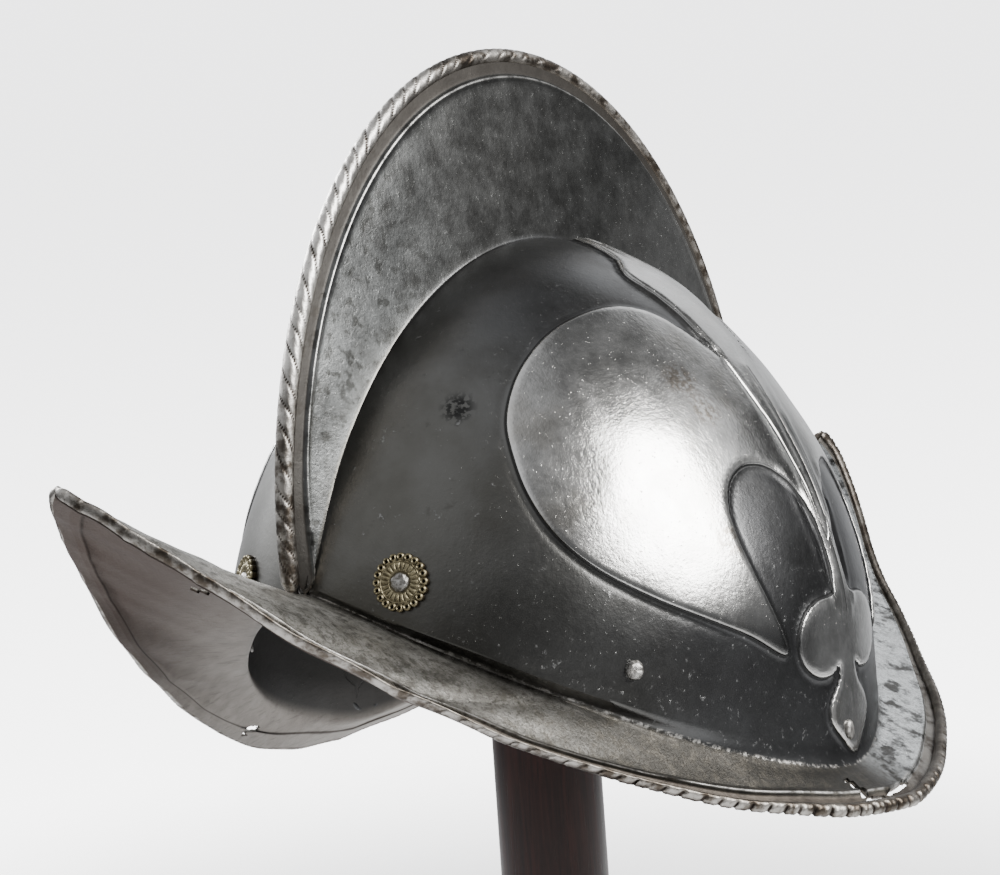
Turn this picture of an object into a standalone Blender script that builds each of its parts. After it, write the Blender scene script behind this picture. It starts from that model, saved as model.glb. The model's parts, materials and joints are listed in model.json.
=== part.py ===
"""Morion helmet on a plain wooden stand: two half shells, a rolled comb edge, rosettes and rivets.

The helmet is 356 mm long over its peaks. +Y runs from the front peak to the back peak, +X is the
wearer's left and +Z is up. The origin is on the floor, under the middle of the helmet.
"""
import math

import bmesh
import bpy
import numpy as np
from mathutils import Matrix, Vector
from mathutils.bvhtree import BVHTree

MM = 0.001

# Brim, measured over its rolled edge
HELMET_LENGTH = 356.0 * MM
BRIM_WIDTH = 227.0 * MM
BRIM_HEIGHT = 107.0 * MM
PEAK_RISE = 100.5 * MM
BRIM_ROLL = 4.4 * MM
BRIM_SWEEP = 1.2
ROLL_START = 90.0
ROLL_END = -115.0

# Foot of the skull, where it turns out into the brim
FOOT_LENGTH = 211.0 * MM
FOOT_WIDTH = 191.0 * MM
FOOT_HEIGHT = 9.0 * MM
FOOT_RISE = 57.5 * MM
FOOT_FILLET = 6.0 * MM

# Skull, a bowl with a slightly pointed top
SKULL_LENGTH = 221.0 * MM
SKULL_WIDTH = 191.0 * MM
BELLY_HEIGHT = 48.0 * MM
CROWN_HEIGHT = 166.5 * MM
LENGTH_FULLNESS = 1.85
WIDTH_FULLNESS = 1.7

# The back half of the skull is slimmer than the front, most of all half way to the back
SLIM_FOOT = 0.10
SLIM_CROWN = 0.20

# Comb, a thin hollow fin over the skull
COMB_LENGTH = 230.0 * MM
COMB_CENTRE_HEIGHT = 81.0 * MM
COMB_HEIGHT = 226.5 * MM
COMB_ROLL = 5.0 * MM
COMB_EDGE_THICKNESS = 4.6 * MM
COMB_BASE_THICKNESS = 10.0 * MM
CREASE_FILLET = 4.0 * MM
CREASE_SHARE = 0.06

WALL = 1.6 * MM
FIT = 0.3 * MM

# Where the walls meet inside each end of the comb, from the end of the foot: inwards as a share of
# the comb's edge, then along and down as shares of the wall
NOSE_IN = 0.2
NOSE_ALONG = 1.3
NOSE_DOWN = 1.2

# Raised lily on each side of the skull
LILY_WIDTH = 162.0 * MM
LILY_HEIGHT = 145.0 * MM
LILY_FOOT_HEIGHT = 14.0 * MM
LILY_RELIEF = 1.4 * MM
LILY_EDGE = 4.0 * MM

# Rosettes and rivets
ROSETTE_D = 15.0 * MM
ROSETTE_THICKNESS = 1.6 * MM
ROSETTE_LOBES = 20
LOBE_DEPTH = 0.5 * MM
RIVET_D = 5.0 * MM
RIVET_RISE = 2.0 * MM
ROSETTE_RIVET_D = 5.0 * MM
ROSETTE_RIVET_RISE = 1.5 * MM
SIDE_RIVET_D = 5.4 * MM
SIDE_RIVET_RISE = 1.2 * MM
RIVET_SIDES = 10
SEAT_STEP = 0.5 * MM
DOME_PROFILE = (
    # across, up
    (1.0, 0.0), (0.94, 0.45), (0.6, 0.87), (0.0, 1.0),
)
ROSETTE_PROFILE = (
    # across, up
    (1.0, 0.0), (1.0, 0.6), (0.82, 1.0), (0.55, 0.65),
)

# Stand
POST_D = 33.0 * MM
POST_SETBACK = -15.0 * MM
BASE_D = 180.0 * MM
BASE_THICKNESS = 22.0 * MM
BASE_EDGE = 5.0 * MM
BASE_EDGE_ANGLES = (0, 30, 60, 90)
POST_TOP_ANGLES = (0, 20, 40, 60, 75)
POST_SIDES = 24
BASE_SIDES = 48
POST_SAMPLES = 17

# The outline of the brim and of the foot, from the front peak round one side to the back peak.
# The turn is in degrees. The lengths are shares of half the width and of the rise.
OUTLINE = (
    # turn, brim_out, brim_up, foot_out, foot_up
    (0, 0.0, 0.98, 0.0, 1.0),
    (12, 0.065, 0.92, 0.185, 0.89),
    (25, 0.176, 0.79, 0.38, 0.74),
    (40, 0.354, 0.55, 0.61, 0.535),
    (58, 0.60, 0.268, 0.845, 0.28),
    (75, 0.855, 0.064, 0.97, 0.095),
    (90, 1.0, 0.0, 1.0, 0.0),
    (105, 0.90, 0.09, 0.93, 0.10),
    (122, 0.63, 0.275, 0.765, 0.29),
    (140, 0.34, 0.51, 0.56, 0.52),
    (155, 0.176, 0.75, 0.365, 0.73),
    (168, 0.068, 0.915, 0.19, 0.88),
    (180, 0.0, 1.0, 0.0, 1.0),
)

# Half of the lily, as shares of half its width and of its height, from its foot.
SIDE_PETAL = (
    # across, up
    (0.0, 0.70), (0.09, 0.72), (0.185, 0.80), (0.36, 0.85), (0.49, 0.834), (0.63, 0.807),
    (0.74, 0.772), (0.84, 0.717), (0.91, 0.66), (0.96, 0.607), (1.0, 0.51), (0.985, 0.44),
    (0.90, 0.365), (0.78, 0.317), (0.64, 0.27), (0.49, 0.228), (0.33, 0.193), (0.395, 0.29),
    (0.43, 0.372), (0.445, 0.42), (0.43, 0.469), (0.395, 0.503), (0.30, 0.531), (0.21, 0.538),
    (0.15, 0.524), (0.065, 0.476), (0.035, 0.40), (0.035, 0.33), (0.06, 0.26), (0.0, 0.26),
)
MIDDLE_PETAL = (
    # across, up
    (0.0, 1.0), (0.15, 0.925), (0.12, 0.87), (0.11, 0.78), (0.09, 0.69), (0.06, 0.60), (0.0, 0.60),
)
KNOT = (
    # across, up
    (0.0, 0.275), (0.17, 0.27), (0.25, 0.24), (0.27, 0.205), (0.25, 0.17), (0.17, 0.145), (0.0, 0.15),
)
TAIL = (
    # across, up
    (0.0, 0.16), (0.04, 0.14), (0.10, 0.105), (0.13, 0.07), (0.10, 0.03), (0.03, 0.0), (0.0, 0.0),
)

# Where the rosettes and rivets sit: the turn round the skull and the height above the brim.
ROSETTES = (
    # name, turn in degrees, height
    ("front", 19.0, 69.0 * MM),
    ("back", 161.0, 69.0 * MM),
)
RIVETS = (
    # name, turn in degrees, height
    ("front", 51.5, 44.0 * MM),
    ("back", 128.5, 44.0 * MM),
)
SIDE_RIVET_TURN = 88.5
SIDE_RIVET_HEIGHT = 18.5 * MM

# Mesh steps
NOSE_TURN = 4.0
END_TURN = 36.0
END_STEPS = 5
SIDE_STEPS = 36
COMB_ROWS = 3
SKULL_ROWS = 20
BRIM_ROWS = 4
ROLL_ROWS = 5
ROLL_SIDES = 6
INNER_LINES = 2
INNER_ROWS = 3
TINY = 1e-7


def material(name, colour, roughness, metallic):
    """A plain Principled material."""
    made = bpy.data.materials.new(name)
    made.use_nodes = True
    shader = made.node_tree.nodes["Principled BSDF"]
    shader.inputs["Base Color"].default_value = (*colour, 1.0)
    shader.inputs["Roughness"].default_value = roughness
    shader.inputs["Metallic"].default_value = metallic
    return made


def node(name, bm, look, smooth_angle=40.0):
    """Link a closed bmesh as a named object with its own material."""
    bmesh.ops.remove_doubles(bm, verts=bm.verts, dist=TINY)
    bmesh.ops.dissolve_degenerate(bm, dist=TINY, edges=bm.edges)
    bmesh.ops.triangulate(bm, faces=bm.faces)
    bmesh.ops.recalc_face_normals(bm, faces=bm.faces)
    mesh = bpy.data.meshes.new(name)
    bm.to_mesh(mesh)
    bm.free()
    mesh.materials.append(look)
    mesh.shade_smooth()
    mesh.set_sharp_from_angle(angle=math.radians(smooth_angle))
    made = bpy.data.objects.new(name, mesh)
    bpy.context.scene.collection.objects.link(made)
    return made


def smooth_column(turn, column):
    """Read one column of the outline table as a smooth curve of the turn."""
    table = np.array(OUTLINE, float)
    xs, ys = table[:, 0], table[:, column]
    steps = np.diff(xs)
    slopes = np.diff(ys) / steps
    tangents = np.empty_like(ys)
    tangents[0], tangents[-1] = slopes[0], slopes[-1]
    tangents[1:-1] = (slopes[:-1] * steps[1:] + slopes[1:] * steps[:-1]) / (steps[:-1] + steps[1:])
    i = np.clip(np.searchsorted(xs, turn) - 1, 0, len(steps) - 1)
    u = (turn - xs[i]) / steps[i]
    start = (1 + 2 * u) * (1 - u) ** 2 * ys[i] + u * (1 - u) ** 2 * steps[i] * tangents[i]
    end = u * u * (3 - 2 * u) * ys[i + 1] + u * u * (u - 1) * steps[i] * tangents[i + 1]
    return start + end


def points(x, y, z):
    """Stack coordinates as an array of points."""
    return np.stack(np.broadcast_arrays(x, y, z), axis=-1).astype(float)


def unit(v):
    """Directions of unit length."""
    return v / np.maximum(np.linalg.norm(v, axis=-1, keepdims=True), 1e-12)


def foot_height(turn):
    """Height of the foot above the floor."""
    return BRIM_HEIGHT + FOOT_HEIGHT + FOOT_RISE * smooth_column(turn, 4)


def comb_line(turn, inset, half_thickness):
    """The edge of the comb, an arc of an ellipse that ends on the foot, inset by a distance."""
    half_length = COMB_LENGTH / 2 - inset
    centre = BRIM_HEIGHT + COMB_CENTRE_HEIGHT
    rise = COMB_HEIGHT - COMB_CENTRE_HEIGHT - inset
    dip = math.asin((centre - float(foot_height(0.0))) / rise)
    angle = -dip + np.radians(turn) * (1 + 2 * dip / math.pi)
    return points(half_thickness, -half_length * np.cos(angle), centre + rise * np.sin(angle))


def comb_edge(turn):
    """The top edge of a half shell, just under the comb's roll."""
    return comb_line(turn, COMB_ROLL + FIT, COMB_EDGE_THICKNESS / 2)


def brim_edge(turn):
    """The outer edge of the brim, over its roll."""
    angle = np.radians(turn)
    rise = PEAK_RISE * smooth_column(turn, 2)
    across = BRIM_WIDTH / 2 * smooth_column(turn, 1)
    return points(across, -HELMET_LENGTH / 2 * np.cos(angle), BRIM_HEIGHT + rise)


def foot_line(turn):
    """The foot of the skull. Within the nose turn it follows the comb to its end."""
    angle = np.radians(turn)
    across = FOOT_WIDTH / 2 * smooth_column(turn, 3)
    plain = points(across, -FOOT_LENGTH / 2 * np.cos(angle), foot_height(turn))
    ends = comb_edge(np.where(turn < 90, 0.0, 180.0))
    share = np.clip(np.minimum(turn, 180 - turn) / NOSE_TURN, 0, 1)[..., None]
    return ends * (1 - share) + plain * share


def skull_section(height):
    """Half length and half width of the skull at a height above the floor."""
    belly = BRIM_HEIGHT + BELLY_HEIGHT
    crown = BRIM_HEIGHT + CROWN_HEIGHT
    up = np.clip((height - belly) / (crown - belly), 0, 1)
    down = np.clip((belly - height) / (BELLY_HEIGHT - FOOT_HEIGHT), 0, 1)
    half_length = SKULL_LENGTH / 2 * (1 - up ** LENGTH_FULLNESS) ** (1 / LENGTH_FULLNESS)
    half_width = SKULL_WIDTH / 2 * (1 - up ** WIDTH_FULLNESS) ** (1 / WIDTH_FULLNESS)
    return half_length, half_width + (FOOT_WIDTH - SKULL_WIDTH) / 2 * down ** 2


def skull_at(around, height):
    """A point of the bare skull at an angle round it, in radians from the front, and a height."""
    half_length, half_width = skull_section(height)
    up = (height - BRIM_HEIGHT - FOOT_HEIGHT) / (CROWN_HEIGHT - FOOT_HEIGHT)
    slim = SLIM_FOOT + (SLIM_CROWN - SLIM_FOOT) * np.clip(up, 0, 1)
    width = half_width * (1 - slim * np.where(around > math.pi / 2, np.sin(2 * around) ** 2, 0.0))
    return points(width * np.sin(around), -half_length * np.cos(around), height)


def skull_point(turn, share):
    """A point of the skull, from the comb at share 0 down to the foot at share 1."""
    angle = np.radians(turn)
    top = points(0.0, -np.cos(angle), np.sin(angle))
    low = points(np.sin(angle), -np.cos(angle), 0.0)
    apart = np.arccos(np.clip((top * low).sum(-1), -1, 1))
    sine = np.maximum(np.sin(apart), 1e-9)
    near = np.where(apart > 1e-4, np.sin((1 - share) * apart) / sine, 1 - share)
    far = np.where(apart > 1e-4, np.sin(share * apart) / sine, share)
    way = unit(near[..., None] * top + far[..., None] * low)
    around = np.arctan2(way[..., 0], -way[..., 1])
    foot = foot_height(np.degrees(around))
    height = foot + (BRIM_HEIGHT + CROWN_HEIGHT - foot) * np.clip(way[..., 2], 0, 1)
    place = skull_at(around, height)
    place[..., 0] = np.hypot(place[..., 0], COMB_BASE_THICKNESS / 2 * (1 - share))
    return place


def outline_distance(across, up, outline):
    """Signed distance in metres to a closed outline of shares, positive inside."""
    shape = np.array(outline, float) * (LILY_WIDTH / 2, LILY_HEIGHT)
    here = np.stack([across, up], axis=-1)
    best = np.full(across.shape, np.inf)
    inside = np.zeros(across.shape, bool)
    for a, b in zip(shape, np.roll(shape, -1, axis=0)):
        along = b - a
        t = np.clip(((here - a) @ along) / max(along @ along, 1e-18), 0, 1)
        best = np.minimum(best, np.linalg.norm(here - a - t[..., None] * along, axis=-1))
        crosses = (a[1] > here[..., 1]) != (b[1] > here[..., 1])
        reach = a[0] + (here[..., 1] - a[1]) * along[0] / (along[1] if abs(along[1]) > 1e-12 else 1e-12)
        inside ^= crosses & (here[..., 0] < reach)
    return np.where(inside, best, -best)


def lily_relief(place):
    """Height of the raised lily at points of the skull."""
    across = np.abs(place[..., 1])
    up = place[..., 2] - BRIM_HEIGHT - LILY_FOOT_HEIGHT
    shapes = (SIDE_PETAL, MIDDLE_PETAL, KNOT, TAIL)
    distance = np.max([outline_distance(across, up, shape) for shape in shapes], axis=0)
    rise = np.clip(distance / LILY_EDGE + 0.5, 0, 1)
    return LILY_RELIEF * rise * rise * (3 - 2 * rise)


def corner(before, at, after, reach):
    """Three points that round a corner: one on each arm and one between them."""
    first = at + unit(before - at) * np.minimum(reach, np.linalg.norm(before - at, axis=-1, keepdims=True))
    last = at + unit(after - at) * reach
    return first, (first + 2 * at + last) / 4, last


def shell_turns():
    """The turns of the mesh lines, closer together along the side that holds the lily."""
    front = np.linspace(NOSE_TURN, END_TURN, END_STEPS + 1)
    side = np.linspace(END_TURN, 180 - END_TURN, SIDE_STEPS + 1)
    return np.concatenate([[0.0], front[:-1], side, 180 - front[::-1][1:], [180.0]])


def brim_run(turn, foot):
    """Points over the brim from the foot to the start of its roll, and the roll's centre and axes."""
    edge = brim_edge(turn)
    centre = edge - unit(edge - foot) * BRIM_ROLL / 2
    centre[[0, -1], 0] = FIT / 2
    rows = []
    for share in np.linspace(0, 1, BRIM_ROWS + 1)[1:]:
        row = foot + (centre - foot) * share
        row[:, 2] = foot[:, 2] + (centre[:, 2] - foot[:, 2]) * share ** BRIM_SWEEP
        row[[0, -1], 0] = FIT / 2
        rows.append(row)
    return rows, centre


def outer_rows(turn):
    """The outer surface as rows from the comb to the brim, with the index of the foot row."""
    edge, foot = comb_edge(turn), foot_line(turn)
    crease = skull_point(turn, np.zeros_like(turn))
    below = skull_point(turn, np.full_like(turn, CREASE_SHARE))
    rows = [edge + (crease - edge) * share for share in np.linspace(0, 1, COMB_ROWS + 1)[:-1]]
    rows += corner(rows[-1], crease, below, CREASE_FILLET)
    for share in np.linspace(0, 1, SKULL_ROWS + 2)[1:-1]:
        rows.append(skull_point(turn, np.full_like(turn, share)))
    brim, centre = brim_run(turn, foot)
    rows += corner(rows[-1], foot, brim[0], FOOT_FILLET)
    foot_row = len(rows) - 2
    for row in rows[:foot_row + 1]:
        row[[0, -1]] = foot[[0, -1]]
    return rows + brim[1:], foot_row, centre


def shell_normals(grid):
    """Outward unit normals of a grid of points, lines first and rows second."""
    along = np.gradient(grid, axis=0)
    down = np.gradient(grid, axis=1)
    return unit(np.cross(down, along))


def half_shell(name, side, look):
    """One half of the helmet: comb side, half skull and half brim in one thin wall."""
    turn = shell_turns()
    rows, foot_row, centre = outer_rows(turn)
    grid = np.stack(rows, axis=1)
    normals = shell_normals(grid)
    ends = np.array([0, -1])
    normals[ends, foot_row + 1:, 0] = 0.0
    normals = unit(normals)
    inner = grid - normals * WALL
    along = NOSE_ALONG * WALL * np.array([1.0, -1.0])
    nose = grid[ends, foot_row] + points(-NOSE_IN * COMB_EDGE_THICKNESS, along, -NOSE_DOWN * WALL)
    inner[ends, :foot_row + 1] = nose[:, None, :]
    inner[..., 0] = np.maximum(inner[..., 0], FIT / 2)
    inner[ends, foot_row + 1:, 0] = grid[ends, foot_row + 1:, 0]
    relief = lily_relief(grid)
    relief[:, :COMB_ROWS + 3] = 0.0
    relief[:, foot_row:] = 0.0
    grid = grid + normals * relief[..., None]
    outward = unit(grid[:, -1] - grid[:, -2])
    across = normals[:, -1]
    roll = []
    radius = BRIM_ROLL / 2
    for angle in np.radians(np.linspace(ROLL_START, ROLL_END, ROLL_ROWS + 1)):
        roll.append(centre + radius * (outward * math.cos(angle) + across * math.sin(angle)))
    outer = np.concatenate([grid[:, :-1], np.stack(roll, axis=1)], axis=1)
    brim_rows = [grid.shape[1] - 3, foot_row + 1]
    skull_rows = list(range(foot_row - 1, COMB_ROWS + 2, -INNER_ROWS))
    inside = inner[::INNER_LINES][:, brim_rows + [foot_row] + skull_rows + [COMB_ROWS + 1, COMB_ROWS - 1, 0]]

    bm = bmesh.new()
    flip = np.array([side, 1.0, 1.0])
    outer_verts = [[bm.verts.new(p * flip) for p in line] for line in outer]
    inside_verts = [[bm.verts.new(p * flip) for p in line] for line in inside]

    def face(*corners):
        bm.faces.new(corners if side > 0 else corners[::-1])

    for lines in (outer_verts, inside_verts):
        for a, b in zip(lines, lines[1:]):
            for j in range(len(a) - 1):
                face(a[j], a[j + 1], b[j + 1], b[j])
    for k in range(len(inside_verts) - 1):
        for fine, coarse in ((-1, 0), (0, -1)):
            left, right = inside_verts[k][coarse], inside_verts[k + 1][coarse]
            a, b, c = (outer_verts[2 * k + i][fine] for i in range(3))
            for trio in ((left, b, a), (left, right, b), (right, c, b)):
                face(*(trio if fine == -1 else trio[::-1]))
    for end, order in ((0, 1), (-1, -1)):
        loop = (outer_verts[end][foot_row:] + inside_verts[end][:3])[::order]
        face(*loop)
    return node(name, bm, look)


def tube(line, radius, sides):
    """A closed round tube along a line of points in the plane x = 0."""
    bm = bmesh.new()
    along = unit(np.gradient(line, axis=0))
    out = np.stack([np.zeros(len(line)), -along[:, 2], along[:, 1]], axis=-1)
    rings = []
    for centre, away in zip(line, out):
        ring = []
        for k in range(sides):
            angle = 2 * math.pi * (k + 0.5) / sides
            offset = away * math.cos(angle) + np.array([1.0, 0.0, 0.0]) * math.sin(angle)
            ring.append(bm.verts.new(centre + radius * offset))
        rings.append(ring)
    for a, b in zip(rings, rings[1:]):
        for k in range(sides):
            bm.faces.new((a[k], a[(k + 1) % sides], b[(k + 1) % sides], b[k]))
    bm.faces.new(rings[0][::-1])
    bm.faces.new(rings[-1])
    return bm


def lathe(profile, sides, spot=(0.0, 0.0)):
    """A solid turned about a vertical axis, from radius and height pairs, bottom to top."""
    bm = bmesh.new()
    rings = []
    for radius, height in profile:
        ring = []
        for k in range(sides if radius > 0 else 1):
            angle = 2 * math.pi * k / sides
            across, along = radius * math.cos(angle), radius * math.sin(angle)
            ring.append(bm.verts.new((spot[0] + across, spot[1] + along, height)))
        rings.append(ring)
    for a, b in zip(rings, rings[1:]):
        for k in range(sides):
            corners = [a[k % len(a)], a[(k + 1) % len(a)], b[(k + 1) % len(b)], b[k % len(b)]]
            bm.faces.new(list(dict.fromkeys(corners)))
    for ring, order in ((rings[0], -1), (rings[-1], 1)):
        if len(ring) > 1:
            bm.faces.new(ring[::order])
    return bm


def seat(turn, height, side):
    """Where a piece sits on the skull: a frame with its Z axis along the outward normal."""
    level, angle = BRIM_HEIGHT + height, math.radians(turn)
    turn_step = SEAT_STEP / SKULL_WIDTH
    before, after = (Vector(skull_at(angle + step, level)) for step in (-turn_step, turn_step))
    below, above = (Vector(skull_at(angle, level + step)) for step in (-SEAT_STEP, SEAT_STEP))
    around, upward = (after - before).normalized(), (above - below).normalized()
    out = around.cross(upward).normalized()
    spot = Vector(skull_at(angle, level))
    flip = Vector((side, 1.0, 1.0))
    axes = [Vector(a * b for a, b in zip(v, flip)) for v in (around, upward, out)]
    axes[0] = axes[1].cross(axes[2])
    frame = Matrix((axes[0], axes[1], axes[2])).transposed().to_4x4()
    return Matrix.Translation(Vector(a * b for a, b in zip(spot, flip))) @ frame


def dome(diameter, rise, base):
    """A rivet head from its flat underside at a height to its rounded top."""
    return lathe([(diameter / 2 * across, base + rise * up) for across, up in DOME_PROFILE], RIVET_SIDES)


def rosette(base):
    """A scalloped disc with a raised rim and a sunk middle."""
    bm = bmesh.new()
    count = ROSETTE_LOBES * 2
    radius = ROSETTE_D / 2
    rings = []
    for share, up in ROSETTE_PROFILE:
        height = base + up * ROSETTE_THICKNESS
        ring = []
        for k in range(count):
            scallop = LOBE_DEPTH * (k % 2) if share == 1.0 else 0.0
            angle = 2 * math.pi * k / count
            reach = radius * share - scallop
            ring.append(bm.verts.new((reach * math.cos(angle), reach * math.sin(angle), height)))
        rings.append(ring)
    for a, b in zip(rings, rings[1:]):
        for k in range(count):
            bm.faces.new((a[k], a[(k + 1) % count], b[(k + 1) % count], b[k]))
    bm.faces.new(rings[0][::-1])
    bm.faces.new(rings[-1])
    return bm


def post_top(shells):
    """Height at which the round top of the post just clears the inside of the crown."""
    radius = POST_D / 2
    level = BRIM_HEIGHT + CROWN_HEIGHT / 2
    heights = []
    for shell in shells:
        corners = [v.co for v in shell.data.vertices]
        tree = BVHTree.FromPolygons(corners, [p.vertices for p in shell.data.polygons])
        for reach in np.linspace(0, radius, POST_SAMPLES):
            drop = radius - math.sqrt(max(radius ** 2 - reach ** 2, 0.0))
            for k in range(2 * POST_SIDES):
                angle = math.pi * k / POST_SIDES
                start = Vector((reach * math.cos(angle), POST_SETBACK + reach * math.sin(angle), level))
                hit = tree.ray_cast(start, Vector((0.0, 0.0, 1.0)))[0]
                if hit:
                    heights.append(hit.z + drop)
    return min(heights) - FIT


def build():
    """Make every piece of the helmet and its stand."""
    for old in list(bpy.data.objects):
        bpy.data.objects.remove(old, do_unlink=True)

    dark_steel = (0.16, 0.16, 0.17)
    grey_steel = (0.34, 0.32, 0.29)
    shells = []
    for side, word in ((1, "left"), (-1, "right")):
        look = material(f"{word} shell steel", dark_steel, 0.35, 1.0)
        shells.append(half_shell(f"shell_{word}", side, look))

    turns = shell_turns()[1:-1]
    roll = comb_line(turns, COMB_ROLL / 2, 0.0)
    look = material("comb roll steel", grey_steel, 0.4, 1.0)
    node("comb_roll", tube(roll, COMB_ROLL / 2, ROLL_SIDES), look)

    for side, word in ((1, "left"), (-1, "right")):
        for spot, turn, height in ROSETTES:
            frame = seat(turn, height, side)
            look = material("rosette brass", (0.42, 0.33, 0.17), 0.45, 1.0)
            made = node(f"rosette_{spot}_{word}", rosette(FIT), look)
            made.matrix_world = frame
            head = dome(ROSETTE_RIVET_D, ROSETTE_RIVET_RISE, 2 * FIT + ROSETTE_THICKNESS)
            look = material("rosette rivet steel", grey_steel, 0.5, 1.0)
            made = node(f"rosette_rivet_{spot}_{word}", head, look)
            made.matrix_world = frame
        for spot, turn, height in RIVETS:
            head = dome(RIVET_D, RIVET_RISE, FIT)
            made = node(f"rivet_{spot}_{word}", head, material("rivet steel", grey_steel, 0.45, 1.0))
            made.matrix_world = seat(turn, height, side)
        head = dome(SIDE_RIVET_D, SIDE_RIVET_RISE, FIT + LILY_RELIEF)
        made = node(f"rivet_side_{word}", head, material("side rivet steel", dark_steel, 0.5, 1.0))
        made.matrix_world = seat(SIDE_RIVET_TURN, SIDE_RIVET_HEIGHT, side)

    wood = (0.055, 0.022, 0.016)
    radius = BASE_D / 2
    base = [(radius, 0.0)]
    for angle in BASE_EDGE_ANGLES:
        lift = BASE_EDGE * math.sin(math.radians(angle))
        draw = BASE_EDGE * (1 - math.cos(math.radians(angle)))
        base.append((radius - draw, BASE_THICKNESS - BASE_EDGE + lift))
    spot = (0.0, POST_SETBACK)
    node("stand_base", lathe(base, BASE_SIDES, spot), material("base wood", wood, 0.4, 0.0), 50.0)
    top = post_top(shells)
    post = [(POST_D / 2, BASE_THICKNESS + FIT)]
    for angle in POST_TOP_ANGLES:
        reach = POST_D / 2 * math.cos(math.radians(angle))
        post.append((reach, top - POST_D / 2 * (1 - math.sin(math.radians(angle)))))
    post.append((0.0, top))
    node("stand_post", lathe(post, POST_SIDES, spot), material("post wood", wood, 0.35, 0.0), 50.0)


build()
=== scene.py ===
# %% [markdown]
# # A morion helmet on its stand
#
# A morion is a foot soldier's open helmet: a bowl for the head, a tall thin comb over it, and a
# boat-shaped brim that rises to a peak at the front and at the back. This one is of iron sheet.
# Its ground is blackened, a large lily is raised and polished bright on each side, its edges are
# turned over into a roped roll, and it stands on a plain wooden post.
#
# The solid parts come from the frame. They fix every size and place, so the pieces made here only
# have to follow the same few lengths.

# %% Load the frame
import json
import math
import bmesh
import bpy
import numpy as np
from mathutils import Matrix, Vector, noise

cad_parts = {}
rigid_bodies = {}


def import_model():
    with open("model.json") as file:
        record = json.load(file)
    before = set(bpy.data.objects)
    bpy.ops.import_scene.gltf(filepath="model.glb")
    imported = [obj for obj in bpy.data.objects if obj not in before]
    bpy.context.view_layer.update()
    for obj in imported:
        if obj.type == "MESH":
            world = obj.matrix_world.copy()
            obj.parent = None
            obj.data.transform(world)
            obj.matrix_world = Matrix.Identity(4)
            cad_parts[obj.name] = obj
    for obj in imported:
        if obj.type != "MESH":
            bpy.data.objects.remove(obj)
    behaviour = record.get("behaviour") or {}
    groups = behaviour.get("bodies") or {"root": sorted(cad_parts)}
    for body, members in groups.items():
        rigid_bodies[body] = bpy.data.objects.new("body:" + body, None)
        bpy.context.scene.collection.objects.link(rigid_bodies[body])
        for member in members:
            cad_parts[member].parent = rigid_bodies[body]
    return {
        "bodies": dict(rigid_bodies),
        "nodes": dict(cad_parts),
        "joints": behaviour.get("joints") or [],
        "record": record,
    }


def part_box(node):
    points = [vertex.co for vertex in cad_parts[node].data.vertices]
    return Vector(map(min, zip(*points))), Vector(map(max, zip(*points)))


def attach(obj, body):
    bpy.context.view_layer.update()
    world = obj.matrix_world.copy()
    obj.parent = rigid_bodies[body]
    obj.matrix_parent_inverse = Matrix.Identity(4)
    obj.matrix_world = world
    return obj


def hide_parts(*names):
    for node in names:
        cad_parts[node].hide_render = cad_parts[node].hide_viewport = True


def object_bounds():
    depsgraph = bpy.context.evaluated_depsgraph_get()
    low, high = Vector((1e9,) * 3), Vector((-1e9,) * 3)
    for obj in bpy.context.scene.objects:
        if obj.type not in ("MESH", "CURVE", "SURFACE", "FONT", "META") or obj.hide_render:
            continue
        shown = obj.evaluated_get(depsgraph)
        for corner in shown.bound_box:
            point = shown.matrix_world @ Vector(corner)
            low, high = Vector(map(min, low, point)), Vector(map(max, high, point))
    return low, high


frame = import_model()
cad_low, cad_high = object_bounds()
MM = 0.001
print("CAD box in mm:", [round((b - a) / MM, 1) for a, b in zip(cad_low, cad_high)])

# %% [markdown]
# ## The camera
# The camera comes first, because every later look is judged through it. The photograph was taken
# close up, with the helmet less than half a metre away, so the near side looms and the far peak
# shrinks. Only a camera at the same distance gives that. It stands off the front left peak, almost
# level with the brim, and leans a few degrees.

# %% The camera
CAMERA_PLACE = Vector((275.9 * MM, -344.7 * MM, 204.0 * MM))
CAMERA_TURN = math.radians(40.92)
CAMERA_LIFT = math.radians(-1.01)
CAMERA_LEAN = math.radians(-4.03)
CAMERA_LENS = 50.04


def add_camera():
    """A camera at the photograph's place, aimed and leaned by its three angles."""
    back = Vector((math.sin(CAMERA_TURN) * math.cos(CAMERA_LIFT),
                   -math.cos(CAMERA_TURN) * math.cos(CAMERA_LIFT), math.sin(CAMERA_LIFT)))
    right = Vector((math.cos(CAMERA_TURN), math.sin(CAMERA_TURN), 0.0))
    axes = Matrix((right, back.cross(right), back)).transposed()
    lean = Matrix.Rotation(CAMERA_LEAN, 3, "Z")
    bpy.ops.object.camera_add()
    camera = bpy.context.object
    camera.matrix_world = Matrix.Translation(CAMERA_PLACE) @ (axes @ lean).to_4x4()
    camera.data.lens = CAMERA_LENS
    camera.data.sensor_width = 36.0
    camera.data.clip_start = 0.02
    bpy.context.scene.camera = camera
    return camera


camera = add_camera()
print("camera is", round((camera.location - Vector((0, 0, 0.21))).length / MM), "mm from the skull's middle")

# %% [markdown]
# ## The lengths that shape the helmet
# A smith would draw three lines before cutting sheet: the edge of the brim, the foot of the skull
# and the edge of the comb. All three are curves of one number, the turn: 0 at the front peak, 90 at
# the side and 180 at the back. Their heights and widths are shares of a few real sizes, so the
# lines stay together when a size changes.

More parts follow.
